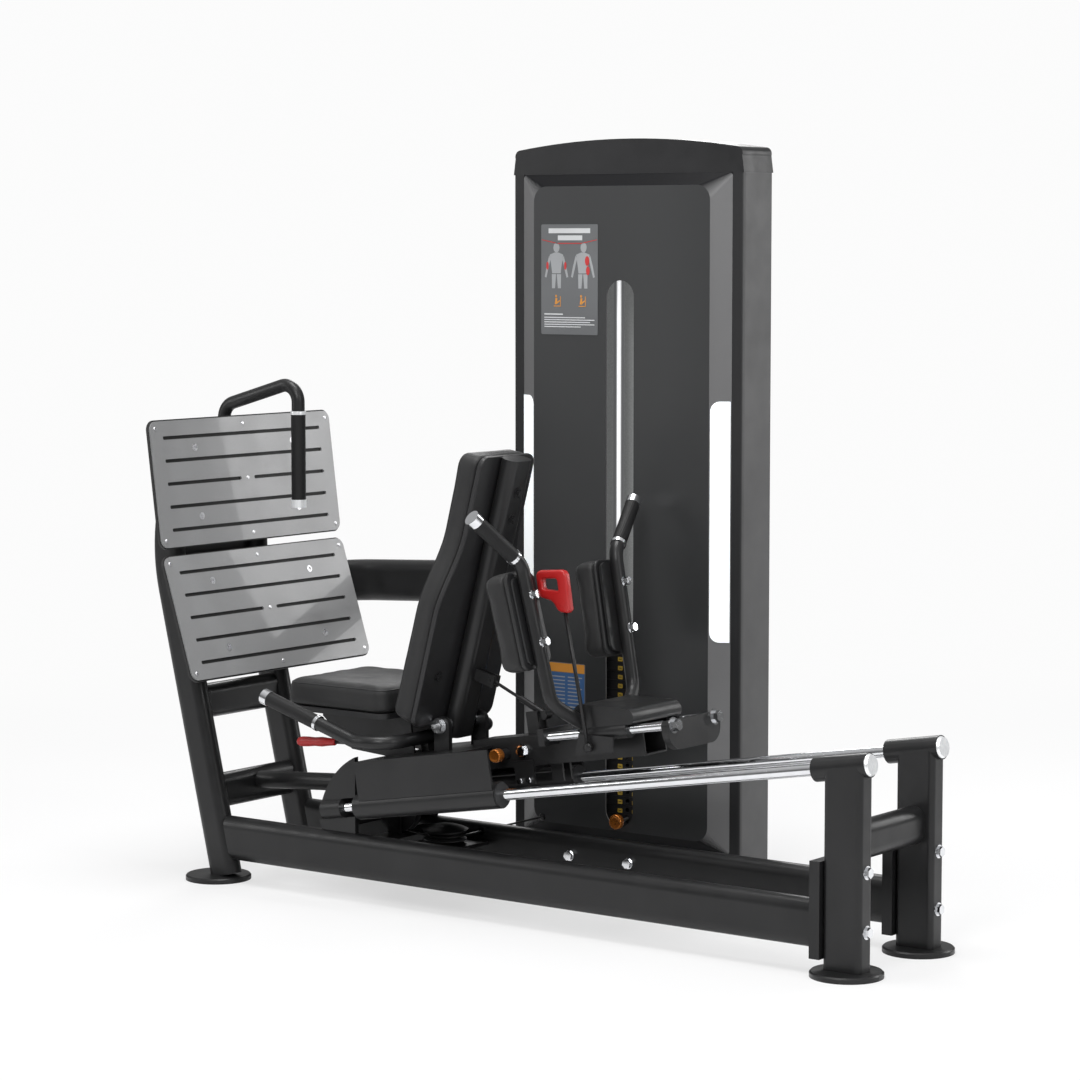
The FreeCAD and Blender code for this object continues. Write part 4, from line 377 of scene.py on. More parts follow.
SLOT_OF = {part["node"]: part["material_slot"] for part in frame["record"]["subparts"]}
FINISH_OF = {"rear_shroud": "inside_grey", "tower_side_covers": "side_grey",
             "tower_header": "header_black", "guide_rods": "rod_steel",
             "end_caps": "cap_steel"}
for node_name, node_object in frame["nodes"].items():
    paint(node_object, FINISH_OF.get(node_name, SLOT_OF[node_name]))


# ---------------------------------------------------------------- building pieces

def finished(name, mesh, body, slot_name, smooth=True):
    """Turns a mesh into a piece that rides on a body and wears a material."""
    obj = bpy.data.objects.new(name, mesh)
    bpy.context.scene.collection.objects.link(obj)
    if smooth:
        for polygon in mesh.polygons:
            polygon.use_smooth = True
    paint(obj, slot_name)
    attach(obj, body)
    return obj


def mesh_from(name, build):
    """Runs build(bm) on an empty bmesh and returns the mesh."""
    bm = bmesh.new()
    build(bm)
    bmesh.ops.recalc_face_normals(bm, faces=bm.faces)
    mesh = bpy.data.meshes.new(name)
    bm.to_mesh(mesh)
    bm.free()
    return mesh


def apply_modifiers(obj):
    """Replaces the object's mesh with its evaluated one and removes its modifiers."""
    bpy.context.view_layer.update()
    graph = bpy.context.evaluated_depsgraph_get()
    mesh = bpy.data.meshes.new_from_object(obj.evaluated_get(graph))
    obj.modifiers.clear()
    obj.data = mesh
    return obj


def axes(origin, x_axis, y_axis, z_axis):
    """The matrix that takes local X, Y and Z to three directions from an origin."""
    rotation = Matrix((x_axis, y_axis, z_axis)).transposed().to_4x4()
    return Matrix.Translation(origin) @ rotation


def rounded_rectangle(width, height, radius, steps=8):
    """Corner arcs of a rectangle centred on the origin, anticlockwise."""
    points = []
    for sx, sy, start in ((1, -1, -90), (1, 1, 0), (-1, 1, 90), (-1, -1, 180)):
        cx, cy = sx * (width / 2 - radius), sy * (height / 2 - radius)
        for i in range(steps + 1):
            angle = math.radians(start + 90 * i / steps)
            points.append((cx + radius * math.cos(angle), cy + radius * math.sin(angle)))
    return points


def slab(bm, outline, low, high, edge, place, segments=3):
    """Adds an extruded outline with both rims rounded, placed by a matrix."""
    block = bmesh.new()
    bottom = [block.verts.new((x, y, low)) for x, y in outline]
    made = bmesh.ops.extrude_face_region(block, geom=[block.faces.new(bottom)])
    top = [v for v in made["geom"] if isinstance(v, bmesh.types.BMVert)]
    bmesh.ops.translate(block, verts=top, vec=(0, 0, high - low))
    if not any(set(f.verts) == set(bottom) for f in block.faces):
        block.faces.new(bottom)
    if edge:
        rims = [e for e in block.edges if abs(e.verts[0].co.z - e.verts[1].co.z) < 1e-6]
        bmesh.ops.bevel(block, geom=rims, offset=edge, segments=segments, affect="EDGES",
                        profile=0.5, clamp_overlap=True)
    bmesh.ops.recalc_face_normals(block, faces=block.faces)
    bmesh.ops.transform(block, matrix=place, verts=block.verts)
    mesh = bpy.data.meshes.new("block")
    block.to_mesh(mesh)
    block.free()
    bm.from_mesh(mesh)
    bpy.data.meshes.remove(mesh)


FLUTED_FROM = 0.6  # of a turned form's widest radius: flutes are cut outside this


def lathe(bm, profile, place, steps=48, flutes=0, flute_depth=0.0):
    """A turned form: profile is (radius, height) pairs, closed on the axis at both ends."""
    widest = max(radius for radius, _ in profile)
    rings = []
    for radius, height in profile:
        ring = []
        for i in range(steps):
            angle = 2 * math.pi * i / steps
            fluted = flutes and radius > FLUTED_FROM * widest
            r = radius - (flute_depth * (0.5 + 0.5 * math.cos(flutes * angle)) if fluted else 0.0)
            ring.append(bm.verts.new(place @ Vector((r * math.cos(angle), r * math.sin(angle),
                                                     height))))
        rings.append(ring)
    for lower, upper in zip(rings, rings[1:]):
        for i in range(steps):
            j = (i + 1) % steps
            bm.faces.new((lower[i], lower[j], upper[j], upper[i]))
    bm.faces.new(list(reversed(rings[0])))
    bm.faces.new(rings[-1])


def tube(bm, points, radius, closed=False, steps=12):
    """A round tube through points, its section carried along without twist."""
    count = len(points)
    tangents = []
    for i in range(count):
        ahead = points[(i + 1) % count] if closed or i + 1 < count else points[i]
        behind = points[i - 1] if closed or i > 0 else points[i]
        tangents.append((ahead - behind).normalized())
    side = tangents[0].orthogonal().normalized()
    rings = []
    for point, tangent in zip(points, tangents):
        side = (side - tangent * side.dot(tangent)).normalized()
        other = tangent.cross(side)
        rings.append([bm.verts.new(point + (side * math.cos(a) + other * math.sin(a)) * radius)
                      for a in (2 * math.pi * k / steps for k in range(steps))])
    pairs = list(zip(rings, rings[1:]))
    if closed:
        first, last = rings[0], rings[-1]
        shift = min(range(steps), key=lambda k: (last[0].co - first[k].co).length)
        pairs.append((last, first[shift:] + first[:shift]))
    for lower, upper in pairs:
        for i in range(steps):
            j = (i + 1) % steps
            bm.faces.new((lower[i], lower[j], upper[j], upper[i]))
    if not closed:
        bm.faces.new(list(reversed(rings[0])))
        bm.faces.new(rings[-1])


# ---------------------------------------------------------------- upholstery

VOXEL = 5 * MM
PAD_INSET = 4 * MM          # the pad starts this much smaller, and swells
FREE_ABOVE = 0.5            # of the thickness: a point is fully free to move above it
FRAMES = 20
WELT_POINTS = 220
WELT_RADIUS = 1.9 * MM
WELT_SINK = 0.6 * MM


def inflate(obj, cap, hold):
    """Puffs a closed mesh with cloth pressure; hold(z) says how free a point is to move."""
    rest = [v.co.copy() for v in obj.data.vertices]
    cloth = obj.modifiers.new("puff", "CLOTH")
    settings = cloth.settings
    settings.quality = 4
    settings.use_pressure = True
    settings.uniform_pressure_force = 4.0
    settings.tension_stiffness = 15.0
    settings.compression_stiffness = 15.0
    settings.effector_weights.gravity = 0.0
    cloth.collision_settings.use_self_collision = False
    scene = bpy.context.scene
    for number in range(1, FRAMES + 1):
        scene.frame_set(number)
    graph = bpy.context.evaluated_depsgraph_get()
    moved = [v.co.copy() for v in obj.evaluated_get(graph).data.vertices]
    obj.modifiers.clear()
    scene.frame_set(1)
    for vertex, start, end in zip(obj.data.vertices, rest, moved):
        step = end - start
        length = step.length
        if length > cap:
            step *= cap / length
        vertex.co = start + step * hold(start.z)


def middle(outline):
    """The mean of an outline's points."""
    return Vector((sum(p[0] for p in outline), sum(p[1] for p in outline))) / len(outline)


def upholstered(name, outline, thickness, place, body, replaced, cap, edge):
    """A crowned pad on a flat base with a welt sewn round its face."""
    centre = middle(outline)
    shrunk = []
    for x, y in outline:
        away = Vector((x, y)) - centre
        shrunk.append(tuple(centre + away * (1 - PAD_INSET / max(away.length, 0.02))))
    mesh = mesh_from(name, lambda bm: slab(bm, shrunk, 0.0, thickness - PAD_INSET, edge,
                                           Matrix.Identity(4), 4))
    obj = bpy.data.objects.new(name, mesh)
    bpy.context.scene.collection.objects.link(obj)
    remesh = obj.modifiers.new("even", "REMESH")
    remesh.mode, remesh.voxel_size = "VOXEL", VOXEL
    apply_modifiers(obj)
    inflate(obj, cap, lambda z: max(0.0, min(1.0, z / (FREE_ABOVE * thickness))))
    relax = obj.modifiers.new("relax", "SMOOTH")
    relax.factor, relax.iterations = 0.5, 10
    smooth = obj.modifiers.new("smooth", "SUBSURF")
    smooth.levels = smooth.render_levels = 1
    apply_modifiers(obj)
    surface = BVHTree.FromPolygons([v.co.copy() for v in obj.data.vertices],
                                   [tuple(p.vertices) for p in obj.data.polygons])
    add_welt(name + "_welt", surface, outline, thickness - edge * 0.75, place, body)
    obj.data.transform(place)
    for polygon in obj.data.polygons:
        polygon.use_smooth = True
    paint(obj, "vinyl_black")
    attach(obj, body)
    if replaced:
        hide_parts(replaced)


def add_welt(name, surface, outline, height, place, body):
    """The sewn welt where a pad's face meets its side, laid on the real surface."""
    centre = middle(outline)
    points = []
    lengths = [0.0]
    ring = [Vector(p) for p in outline] + [Vector(outline[0])]
    for a, b in zip(ring, ring[1:]):
        lengths.append(lengths[-1] + (b - a).length)
    segment = 0
    for i in range(WELT_POINTS):
        target = lengths[-1] * i / WELT_POINTS
        while lengths[segment + 1] < target:
            segment += 1
        share = (target - lengths[segment]) / (lengths[segment + 1] - lengths[segment])
        flat = ring[segment].lerp(ring[segment + 1], share)
        away = (flat - centre).normalized()
        start = Vector((*(flat + away * 0.03), height))
        hit = surface.ray_cast(start, Vector((-away.x, -away.y, 0)), 0.08)[0]
        if hit:
            points.append(place @ (hit + Vector((away.x, away.y, 0)) * -WELT_SINK))
    mesh = mesh_from(name, lambda bm: tube(bm, points, WELT_RADIUS, closed=True, steps=8))
    finished(name, mesh, body, "vinyl_black")


def seat_pad():
    low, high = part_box("seat_cushion")
    centre = (low + high) / 2
    size = high - low
    outline = rounded_rectangle(size.x, size.y, 0.032)
    place = axes(Vector((centre.x, centre.y, low.z)), X, Y, Z)
    upholstered("seat_pad", outline, size.z, place, "carriage", "seat_cushion", 0.005, 0.013)


BACK_LEAN = math.radians(15)
BACK_UP = Vector((math.sin(BACK_LEAN), 0, math.cos(BACK_LEAN)))
BACK_REAR = Vector((math.cos(BACK_LEAN), 0, -math.sin(BACK_LEAN)))
BACK_LOW, BACK_LENGTH = -0.010, 0.625
BACK_WIDE, BACK_NARROW = 0.145, 0.100
TAPER = (0.250, 0.437)
BACK_CORNER = 0.028
SPINE_HALF, BOARD = 0.020, 0.012
PAD_DEEP = 0.058


def back_half_width(height):
    """Half the backrest's width at a height above its pivot."""
    share = max(0.0, min(1.0, (height - TAPER[0]) / (TAPER[1] - TAPER[0])))
    return BACK_WIDE + (BACK_NARROW - BACK_WIDE) * (share * share * (3 - 2 * share))


def back_outline(inset=0.0):
    """The backrest's face: wide at the hips, tapering to a narrow top, with round corners."""
    low, high = BACK_LOW + inset, BACK_LOW + BACK_LENGTH - inset
    corner = BACK_CORNER - inset
    steps = 30
    right = []
    for i in range(7):
        angle = math.radians(-90 + 15 * i)
        right.append((BACK_WIDE - inset - corner + corner * math.cos(angle),
                      low + corner + corner * math.sin(angle)))
    for i in range(steps + 1):
        height = TAPER[0] + (TAPER[1] - TAPER[0]) * i / steps
        right.append((back_half_width(height) - inset, height))
    for i in range(7):
        angle = math.radians(15 * i)
        right.append((BACK_NARROW - inset - corner + corner * math.cos(angle),
                      high - corner + corner * math.sin(angle)))
    return right + [(-x, y) for x, y in reversed(right)]


def back_place(forward):
    """Local X across, Y up the backrest and Z towards the sitter."""
    return axes(PIVOT - BACK_REAR * forward, -Y, BACK_UP, -BACK_REAR)


def back_pad():
    upholstered("back_pad", back_outline(), PAD_DEEP, back_place(SPINE_HALF + BOARD), "backrest",
                "backrest_cushion", 0.005, 0.012)
    mesh = mesh_from("back_board", lambda bm: slab(bm, back_outline(0.004), 0.0, BOARD - 0.0005,
                                                   0.003, back_place(SPINE_HALF)))
    board = finished("back_board", mesh, "backrest", "board_black", smooth=False)
    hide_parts("backrest_board")


def half_centre(node, side):
    """The middle of a node's geometry on one side of the press's centre plane."""
    points = [v.co for v in frame["nodes"][node].data.vertices if (v.co.y - CENTRE_Y) * side > 0]
    low = Vector([min(p[k] for p in points) for k in range(3)])
    high = Vector([max(p[k] for p in points) for k in range(3)])
    return (low + high) / 2


TUBE_RISE = Vector((-0.063, 0.019, 0.293))  # from the far shoulder tube's elbow to its top


def shoulder_pads():
    """Each pad leans with its tube: a vinyl cushion on a moulded shell with a raised panel."""
    width, height, deep, shell = 0.098, 0.218, 0.055, 0.014
    for side, label in ((-1, "near"), (1, "far")):
        up = Vector((TUBE_RISE.x, side * TUBE_RISE.y, TUBE_RISE.z)).normalized()
        rearward = Vector((up.z, 0, -up.x)).normalized()
        across = up.cross(rearward)
        centre = half_centre("shoulder_cushions", side)
        place = axes(centre + rearward * (deep / 2), -across, up, -rearward)
        outline = rounded_rectangle(width, height, 0.024)
        upholstered(f"shoulder_pad_{label}", outline, deep, place, "shoulders",
                    "shoulder_cushions" if side < 0 else None, 0.004, 0.009)
        back = axes(half_centre("shoulder_backs", side) + rearward * (shell / 2), across, up,
                    rearward)

        def build(bm, back=back):
            slab(bm, rounded_rectangle(width - 0.008, height - 0.008, 0.020), -shell + 0.0006,
                 -0.0050, 0.0035, back)
            slab(bm, rounded_rectangle(width - 0.030, height - 0.032, 0.015), -0.0060, -0.0003,
                 0.0026, back)

        piece = finished(f"shoulder_shell_{label}", mesh_from("shell", build), "shoulders",
                         "board_black", smooth=False)
        if side < 0:
            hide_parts("shoulder_backs")


seat_pad()
back_pad()
shoulder_pads()


# ---------------------------------------------------------------- levers and pins

def release_handle():
    """The red loop and its thin black rod."""
    low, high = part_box("release_lever")
    pivot = Vector(JOINTS["release_swing"]["pos_m"])
    y = (low.y + high.y) / 2
    foot = Vector((pivot.x, y, pivot.z))
    top = Vector((pivot.x - 0.062, y, pivot.z + 0.296))
    mesh = mesh_from("release_rod", lambda bm: (tube(bm, [foot, (foot + top) / 2, top], 0.0042),
                                                lathe(bm, [(0.004, -0.006), (0.009, -0.006),
                                                           (0.009, 0.005), (0.004, 0.005)],
                                                      axes(foot, X, Z, -Y))))
    rod = finished("release_rod", mesh, "release", "frame_black")
    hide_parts("release_lever")
    outer = [(-0.042, 0.290), (-0.052, 0.352), (-0.054, 0.364), (-0.060, 0.371), (-0.068, 0.373),
             (-0.122, 0.369), (-0.129, 0.365), (-0.132, 0.357), (-0.126, 0.318), (-0.118, 0.311),
             (-0.092, 0.306), (-0.084, 0.300), (-0.074, 0.287), (-0.066, 0.283), (-0.048, 0.283)]
    inner = [(-0.073, 0.328), (-0.077, 0.350), (-0.080, 0.354), (-0.112, 0.352), (-0.116, 0.348),
             (-0.113, 0.332), (-0.109, 0.329)]
    place = axes(Vector((pivot.x, y, pivot.z)), X, Z, -Y)
    mesh = mesh_from("release_loop", lambda bm: ringed_slab(bm, outer, inner, 0.009, place))
    loop = bpy.data.objects.new("release_loop", mesh)
    bpy.context.scene.collection.objects.link(loop)
    bevel = loop.modifiers.new("round", "BEVEL")
    bevel.width, bevel.segments, bevel.limit_method = 0.0045, 4, "ANGLE"
    bevel.angle_limit = math.radians(50)
    apply_modifiers(loop)
    rounded = loop.data
    bpy.data.objects.remove(loop)
    finished("release_loop", rounded, "release", "red")


def ringed_slab(bm, outer, inner, half, place):
    """A slab with a window in it."""
    loops = []
    for points in (outer, inner):
        loops.append([[bm.verts.new(place @ Vector((x, y, z))) for x, y in points]
                      for z in (-half, half)])
    for level in (0, 1):
        rim = []
        for loop in loops:
            ring = loop[level]
            for i in range(len(ring)):
                rim.append(bm.edges.new((ring[i], ring[(i + 1) % len(ring)])))
        bmesh.ops.triangle_fill(bm, use_beauty=True, use_dissolve=True, edges=rim)
    for loop in loops:
        low, high = loop
        for i in range(len(low)):
            j = (i + 1) % len(low)
            bm.faces.new((low[i], low[j], high[j], high[i]))


def seat_handle():
    """The red seat lever: a moulded grip on a thin cranked rod."""
    pivot = Vector(JOINTS["seat_adjust"]["pos_m"])
    y = pivot.y
    end = Vector((pivot.x - 0.078, y, pivot.z - 0.004))
    mesh = mesh_from("seat_rod", lambda bm: (tube(bm, [pivot, pivot.lerp(end, 0.5), end], 0.0048),
                                             lathe(bm, [(0.004, -0.014), (0.009, -0.014),
                                                        (0.009, 0.012), (0.004, 0.012)],
                                                   axes(pivot, X, Z, -Y))))
    rod = finished("seat_lever_rod", mesh, "seat_adjuster", "frame_black")
    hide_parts("seat_lever")
    direction = Vector((-0.105, 0, -0.008)).normalized()
    side = Y
    place = axes(end + Vector((0.010, 0, 0)), side, direction.cross(side), direction)
    profile = [(0.0035, -0.001), (0.0065, 0.000), (0.0080, 0.003), (0.0085, 0.012),
               (0.0092, 0.022), (0.0110, 0.040), (0.0104, 0.052), (0.0098, 0.060),
               (0.0112, 0.080), (0.0114, 0.096), (0.0105, 0.104), (0.0080, 0.109),
               (0.0035, 0.112)]
    mesh = mesh_from("seat_grip", lambda bm: lathe(bm, profile, place, 32))
    finished("seat_lever_grip", mesh, "seat_adjuster", "red")


def knob(name, face, direction, radius, depth, body, flutes=18):
    """A turned, fluted knob with a dished face."""
    side = direction.orthogonal().normalized()
    place = axes(face, side, direction.cross(side), direction)
    profile = [(0.4 * radius, -depth), (0.92 * radius, -depth), (radius, -0.9 * depth),
               (radius, -0.14 * depth), (0.93 * radius, -0.02 * depth), (0.84 * radius, 0.0),
               (0.74 * radius, -0.06 * depth), (0.4 * radius, -0.08 * depth)]
    mesh = mesh_from(name, lambda bm: lathe(bm, profile, place, 72, flutes, 0.0009))
    return finished(name, mesh, body, "orange")


def near_face(node):
    """The middle of a node's face nearest the camera's side, and the node's length across."""
    low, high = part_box(node)
    centre = (low + high) / 2
    return Vector((centre.x, low.y, centre.z)), high.y - low.y


def pins():
    """The two pull pins: a fluted knob and a steel shaft each."""
    face, _ = near_face("pop_pin")
    piece = knob("pop_knob", face, -Y, 0.015, 0.021, "lock_pin")
    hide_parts("pop_pin")
    shaft = mesh_from("pop_shaft", lambda bm: lathe(
        bm, [(0.003, -0.054), (0.0046, -0.053), (0.0046, -0.02), (0.003, -0.02)],
        axes(face, X, Z, -Y)))
    finished("pop_shaft", shaft, "lock_pin", "steel")
    face, length = near_face("selector_pin")
    piece = knob("selector_knob", face, -Y, 0.017, 0.015, "selector", 14)
    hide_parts("selector_pin")
    shaft = mesh_from("selector_shaft", lambda bm: lathe(
        bm, [(0.003, -length), (0.0042, -length + 0.002), (0.0042, -0.024), (0.009, -0.023),
             (0.0095, -0.014), (0.004, -0.014)], axes(face, X, Z, -Y)))
    finished("selector_shaft", shaft, "selector", "steel")


release_handle()
seat_handle()
pins()


# ---------------------------------------------------------------- cable

LIFT_PARTS = 24             # the run that shortens is divided evenly along its length
LIFT_RADIUS, STILL_RADIUS, PULLED_RADIUS = 2.8 * MM, 2.5 * MM, 2.3 * MM
LOW_GROOVE, FRONT_GROOVE = 30 * MM, 50 * MM
CLEVIS_REACH = 452 * MM     # from the front wheel's top to the carriage's clevis, along the rails
PULLED_START, STILL_END = 30 * MM, 22 * MM


def cable_runs():
    """The cable as still runs, a run that shortens above the stack and one that rides along."""
    low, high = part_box("head_plate")
    stem = Vector(((low.x + high.x) / 2, (low.y + high.y) / 2, high.z - 0.004))
    wheel = Vector(JOINTS["top_centre_turn"]["pos_m"])
    top = Vector((stem.x, stem.y, wheel.z))
    points = [stem.lerp(top, i / LIFT_PARTS) for i in range(LIFT_PARTS + 1)]
    lift = finished("cable_lift", mesh_from("cable_lift", lambda bm: tube(bm, points, LIFT_RADIUS)),
                    "frame", "bright_steel")
    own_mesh(lift)
    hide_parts("cable")

    groove = stem.x - wheel.x
    second = Vector(JOINTS["top_side_turn"]["pos_m"])
    low_wheel = Vector(JOINTS["low_turn"]["pos_m"])
    floor_wheel = Vector(JOINTS["floor_turn"]["pos_m"])
    front = Vector(JOINTS["front_turn"]["pos_m"])
    path = arc(wheel, X, Z, 0, 90, groove) + arc(second, X, Z, 90, 180, groove)
    path += arc(low_wheel, Y, Z, 0, -90, LOW_GROOVE)
    path += arc(floor_wheel, X, Y, 0, -90, groove)
    path += arc(front, ALONG_RAIL, ABOVE_RAIL, 270, 90, FRONT_GROOVE)
    tangent = front + ABOVE_RAIL * FRONT_GROOVE
    clevis = tangent + ALONG_RAIL * CLEVIS_REACH
    path.append(clevis + ALONG_RAIL * STILL_END)
    still = mesh_from("cable_still", lambda bm: tube(bm, path, STILL_RADIUS, steps=10))
    finished("cable_still", still, "frame", "cable_black")
    start = tangent - ALONG_RAIL * PULLED_START
    pulled = mesh_from("cable_pulled", lambda bm: tube(
        bm, [start, start.lerp(clevis, 0.5), clevis], PULLED_RADIUS, steps=10))
    finished("cable_pulled", pulled, "carriage", "cable_black")


def arc(centre, first, second, start, end, radius):
    """Points round a wheel's groove, by degrees from the first direction to the second."""
    steps = max(6, int(abs(end - start) / 8))
    points = []
    for i in range(steps + 1):
        angle = math.radians(start + (end - start) * i / steps)
        points.append(centre + (first * math.cos(angle) + second * math.sin(angle)) * radius)
    return points


cable_runs()


# ---------------------------------------------------------------- printed placards

PRINT = 0.35 * MM
BETWEEN_PLACARDS = 1.0      # a height that only the upper placard is above
STACK_PLATES = 20
STACK_LIFT = 0.2 * MM


def split_boxes(node, axis, at_value):
    """The boxes of a node's geometry below and above a value on one axis."""
    boxes = []
    for above in (False, True):
        points = [v.co for v in frame["nodes"][node].data.vertices
                  if (v.co[axis] > at_value) == above]
        boxes.append((Vector([min(p[k] for p in points) for k in range(3)]),
                      Vector([max(p[k] for p in points) for k in range(3)])))
    return boxes


def printed(name, shapes, place, slot_name, lift=0.0, body="frame"):
    """Flat printed shapes standing a hair proud of their film."""
    def build(bm):
        for outline in shapes:
            slab(bm, outline, lift, lift + PRINT, 0.0, place)
    finished(name, mesh_from(name, build), body, slot_name, smooth=False)


def block_shape(x0, y0, x1, y1):
    return [(x0, y0), (x1, y0), (x1, y1), (x0, y1)]


def oval_shape(x, y, rx, ry, count=20):
    return [(x + rx * math.cos(2 * math.pi * i / count), y + ry * math.sin(2 * math.pi * i / count))
            for i in range(count)]


def figure_shapes(x, y, turned):
    """A plain generic body chart: head, torso, arms and legs as simple shapes."""
    lean = 0.002 if turned else 0.0
    shapes = [oval_shape(x + lean, y + 0.050, 0.0085, 0.011),
              [(x - 0.019, y + 0.034), (x - 0.014, y + 0.006), (x - 0.012, y - 0.008),
               (x + 0.012, y - 0.008), (x + 0.014, y + 0.006), (x + 0.019, y + 0.034),
               (x + 0.005, y + 0.039), (x - 0.005, y + 0.039)]]
    for side in (-1, 1):
        shapes.append([(x + side * 0.0205, y + 0.032), (x + side * 0.0275, y + 0.008),
                       (x + side * 0.0330, y - 0.016), (x + side * 0.0285, y - 0.018),
                       (x + side * 0.0215, y + 0.006), (x + side * 0.0165, y + 0.024)][::side])
        shapes.append([(x + side * 0.0130, y - 0.010), (x + side * 0.0125, y - 0.042),
                       (x + side * 0.0040, y - 0.042), (x + side * 0.0010, y - 0.010)][::side])
    return shapes


def sitter_shapes(x, y):
    """A small pictogram of someone pushing from a seat."""
    return [oval_shape(x - 0.003, y + 0.0125, 0.0026, 0.0030, 12),
            [(x - 0.0065, y - 0.006), (x - 0.0010, y - 0.006), (x + 0.0005, y + 0.008),
             (x - 0.0045, y + 0.008)],
            [(x - 0.0010, y - 0.0055), (x + 0.0080, y + 0.0010), (x + 0.0070, y + 0.0035),
             (x - 0.0010, y - 0.0010)],
            block_shape(x + 0.0082, y - 0.010, x + 0.0098, y + 0.012),
            block_shape(x - 0.0095, y - 0.011, x + 0.0098, y - 0.0092)]


def placard_prints():
    """Both placards, as plain bars and generic shapes with no lettering."""
    lower, upper = split_boxes("placards", 2, BETWEEN_PLACARDS)
    low, high = upper
    place = axes(Vector(((low.x + high.x) / 2, low.y, (low.z + high.z) / 2)), X, Z, -Y)
    half_x, half_z = (high.x - low.x) / 2, (high.z - low.z) / 2
    printed("placard_heading", [block_shape(-0.058, half_z - 0.020, 0.058, half_z - 0.009),
                                block_shape(-0.032, half_z - 0.036, 0.036, half_z - 0.025)],
            place, "print_white")
    printed("placard_band", [[(-half_x + 0.002, half_z - 0.034), (-0.034, half_z - 0.042),
                              (0.034, half_z - 0.042), (half_x - 0.002, half_z - 0.034),
                              (half_x - 0.002, half_z - 0.0355), (0.034, half_z - 0.0440),
                              (-0.034, half_z - 0.0440), (-half_x + 0.002, half_z - 0.0355)][::-1]],
            place, "print_red")
    printed("placard_figures", figure_shapes(-0.036, 0.022, False) + figure_shapes(0.038, 0.022, True),
            place, "print_grey")
    reds = []
    for x, y, rx, ry in ((-0.0610, 0.031, 0.0032, 0.009), (-0.0110, 0.031, 0.0032, 0.009),
                         (0.050, 0.042, 0.0060, 0.011), (0.052, 0.020, 0.0050, 0.010)):
        reds.append(oval_shape(x, y, rx, ry))
    printed("placard_muscles", reds, place, "print_red", PRINT)
    printed("placard_pictograms", sitter_shapes(-0.034, -0.050) + sitter_shapes(0.036, -0.050),
            place, "print_orange")
    rows = [block_shape(-0.070, -0.0800, -0.018, -0.0770)]
    for row, reach in enumerate((0.044, 0.070, 0.058, 0.070, 0.032)):
        y = -0.0860 - 0.0052 * row
        rows.append(block_shape(-0.070, y - 0.0011, reach, y + 0.0011))
    printed("placard_lines", rows, place, "print_white")
    low, high = lower
    place = axes(Vector(((low.x + high.x) / 2, low.y, (low.z + high.z) / 2)), X, Z, -Y)
    half_x, half_z = (high.x - low.x) / 2 - 0.0015, (high.z - low.z) / 2 - 0.0015
    printed("notice_head", [block_shape(-half_x, half_z - 0.020, half_x, half_z)], place,
            "print_orange")
    printed("notice_body", [block_shape(-half_x, -half_z, half_x, half_z - 0.0215)], place,
            "print_blue")
    rows = []
    for row in range(9):
        y = half_z - 0.031 - 0.0085 * row
        for start, end in ((-0.044, -0.004), (0.004, 0.044 - 0.006 * (row % 3))):
            rows.append(block_shape(start, y - 0.0012, end, y + 0.0012))
    printed("notice_lines", rows, place, "print_grey", PRINT)


def stack_labels():
    """Two small yellow marks with a dark tick beside each plate's pin hole."""
    low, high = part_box("weight_plates")
    pitch = (high.z - low.z) / STACK_PLATES
    centre_x = (low.x + high.x) / 2
    place = axes(Vector((centre_x, low.y, low.z)), X, Z, -Y)
    marks, ticks = [], []
    for row in range(STACK_PLATES):
        y = pitch * (row + 0.36)
        for side in (-1, 1):
            marks.append(rounded_at(side * 0.0200, y, 0.013, 0.0100, 0.0020))
            ticks.append(block_shape(side * 0.0200 - 0.0035, y - 0.0008,
                                     side * 0.0200 + 0.0035, y + 0.0008))
    printed("stack_marks", marks, place, "print_yellow", STACK_LIFT, "stack")
    printed("stack_ticks", ticks, place, "print_dark", STACK_LIFT + PRINT, "stack")


def rounded_at(x, y, width, height, radius):
    return [(x + px, y + py) for px, py in rounded_rectangle(width, height, radius, 4)]


placard_prints()
stack_labels()


# ---------------------------------------------------------------- stage, light and camera

def pale_floor():
    """A pale floor, brightened for the camera only as it runs out to the white backdrop."""
    floor = bpy.data.meshes.new("floor")
    half = 14.0
    floor.from_pydata([(-half, -half, 0), (half, -half, 0), (half, half, 0), (-half, half, 0)], [],
                      [(0, 1, 2, 3)])
    obj = bpy.data.objects.new("floor", floor)
    bpy.context.scene.collection.objects.link(obj)
    s = Shader("pale_floor")
    s.link(s.between(s.noise(0.8, 2.0), (0.80, 0.80, 0.805), (0.84, 0.84, 0.845)),
           s.bsdf.inputs["Base Color"])
    s.set(Roughness=0.75)
    glow = s.add("ShaderNodeEmission", Strength=0.97)
    distance = s.add("ShaderNodeVectorMath", operation="LENGTH")
    s.link(s.place, distance.inputs[0])
    fade = s.add("ShaderNodeMapRange", interpolation_type="SMOOTHSTEP")
    for name, value in (("From Min", 0.9), ("From Max", 4.2), ("To Min", 0.62), ("To Max", 1.0)):
        fade.inputs[name].default_value = value
    s.link(distance.outputs["Value"], fade.inputs["Value"])
    seen = s.add("ShaderNodeMath", operation="MULTIPLY")
    s.link(fade.outputs["Result"], seen.inputs[0])
    s.link(s.add("ShaderNodeLightPath").outputs["Is Camera Ray"], seen.inputs[1])
    mix = s.add("ShaderNodeMixShader")
    s.link(seen.outputs["Value"], mix.inputs["Fac"])
    s.link(s.bsdf.outputs["BSDF"], mix.inputs[1])
    s.link(glow.outputs["Emission"], mix.inputs[2])
    s.link(mix.outputs["Shader"], s.nodes["Material Output"].inputs["Surface"])
    floor.materials.append(s.material)


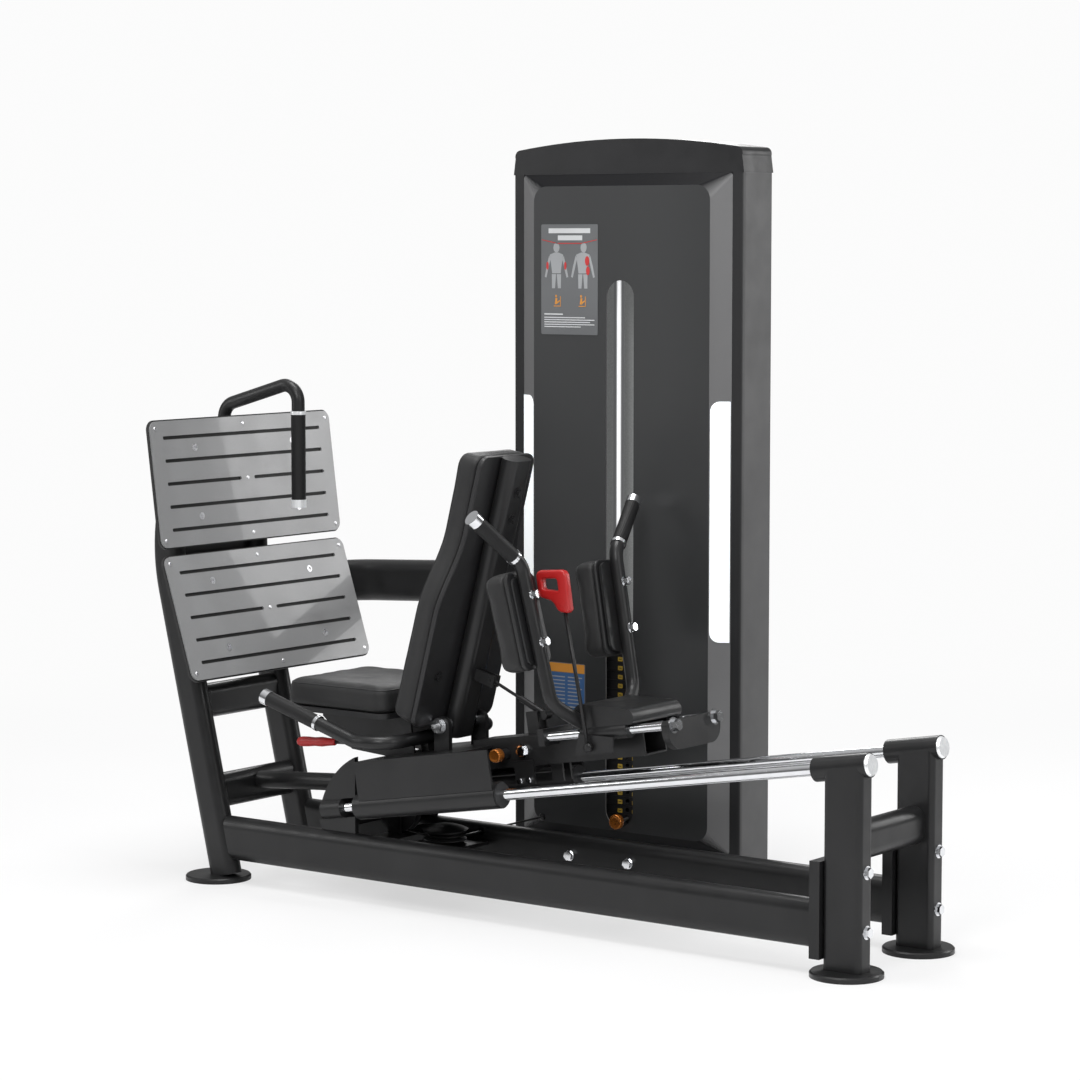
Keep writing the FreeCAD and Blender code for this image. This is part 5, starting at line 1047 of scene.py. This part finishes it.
def studio_sky():
    """A soft overhead sky that lights the scene, and a white backdrop that only the camera sees."""
    world = bpy.data.worlds.new("studio")
    world.use_nodes = True
    nodes, links = world.node_tree.nodes, world.node_tree.links
    sky = nodes["Background"]
    place = nodes.new("ShaderNodeTexCoord")
    split = nodes.new("ShaderNodeSeparateXYZ")
    ramp = nodes.new("ShaderNodeValToRGB")
    links.new(place.outputs["Generated"], split.inputs["Vector"])
    links.new(split.outputs["Z"], ramp.inputs["Fac"])
    stops = ramp.color_ramp.elements
    for stop, position, level in ((stops[0], 0.0, 0.20), (stops[1], 1.0, 1.0),
                                  (stops.new(0.30), 0.30, 0.26), (stops.new(0.62), 0.62, 0.62)):
        stop.position, stop.color = position, (level, level, level, 1)
    links.new(ramp.outputs["Color"], sky.inputs["Color"])
    sky.inputs["Strength"].default_value = 0.75
    backdrop = nodes.new("ShaderNodeBackground")
    backdrop.inputs["Color"].default_value = (0.97, 0.97, 0.97, 1)
    mix = nodes.new("ShaderNodeMixShader")
    links.new(nodes.new("ShaderNodeLightPath").outputs["Is Camera Ray"], mix.inputs["Fac"])
    links.new(sky.outputs["Background"], mix.inputs[1])
    links.new(backdrop.outputs["Background"], mix.inputs[2])
    links.new(mix.outputs["Shader"], nodes["World Output"].inputs["Surface"])
    bpy.context.scene.world = world


def softbox(name, place, target, width, height, power):
    """A rectangular area light aimed at a target."""
    data = bpy.data.lights.new(name, "AREA")
    data.shape, data.size, data.size_y, data.energy = "RECTANGLE", width, height, power
    light = bpy.data.objects.new(name, data)
    light.location = place
    light.rotation_mode = "QUATERNION"
    light.rotation_quaternion = (Vector(target) - Vector(place)).to_track_quat("-Z", "Y")
    bpy.context.scene.collection.objects.link(light)


def camera():
    """Stands right of the rear posts, at eye height, looking across the press."""
    data = bpy.data.cameras.new("camera")
    data.sensor_width, data.lens = 36.0, 108.6
    data.clip_start, data.clip_end = 0.1, 100.0
    obj = bpy.data.objects.new("camera", data)
    heading, pitch = math.radians(36.6), math.radians(5.26)
    rear_feet_x, stand_off = 0.90468, Vector((3.314, -5.628))
    obj.location = (rear_feet_x + stand_off.x, CENTRE_Y + stand_off.y, 1.460)
    obj.rotation_mode = "QUATERNION"
    forward = Vector((-math.sin(heading) * math.cos(pitch), math.cos(heading) * math.cos(pitch),
                      -math.sin(pitch)))
    obj.rotation_quaternion = forward.to_track_quat("-Z", "Y")
    bpy.context.scene.collection.objects.link(obj)
    bpy.context.scene.camera = obj


pale_floor()
studio_sky()
softbox("key_light", (1.6, -3.8, 3.6), (-0.2, 0, 0.6), 1.6, 2.4, 95)
softbox("fill_light", (-3.8, -2.8, 2.2), (0.3, 0, 0.9), 0.8, 2.8, 32)
softbox("rim_light", (3.8, -0.8, 2.4), (0, 0, 0.8), 0.8, 2.6, 34)
softbox("plate_light", (2.2, 3.4, 1.9), (-0.8, 0, 0.7), 1.0, 2.2, 34)
softbox("back_light", (-2.4, 3.4, 3.0), (0, 0, 0.8), 1.4, 2.0, 55)
softbox("top_light", (-0.2, -0.4, 4.4), (-0.2, 0, 0), 2.4, 1.6, 95)
camera()
bpy.context.scene.view_settings.view_transform = "Standard"
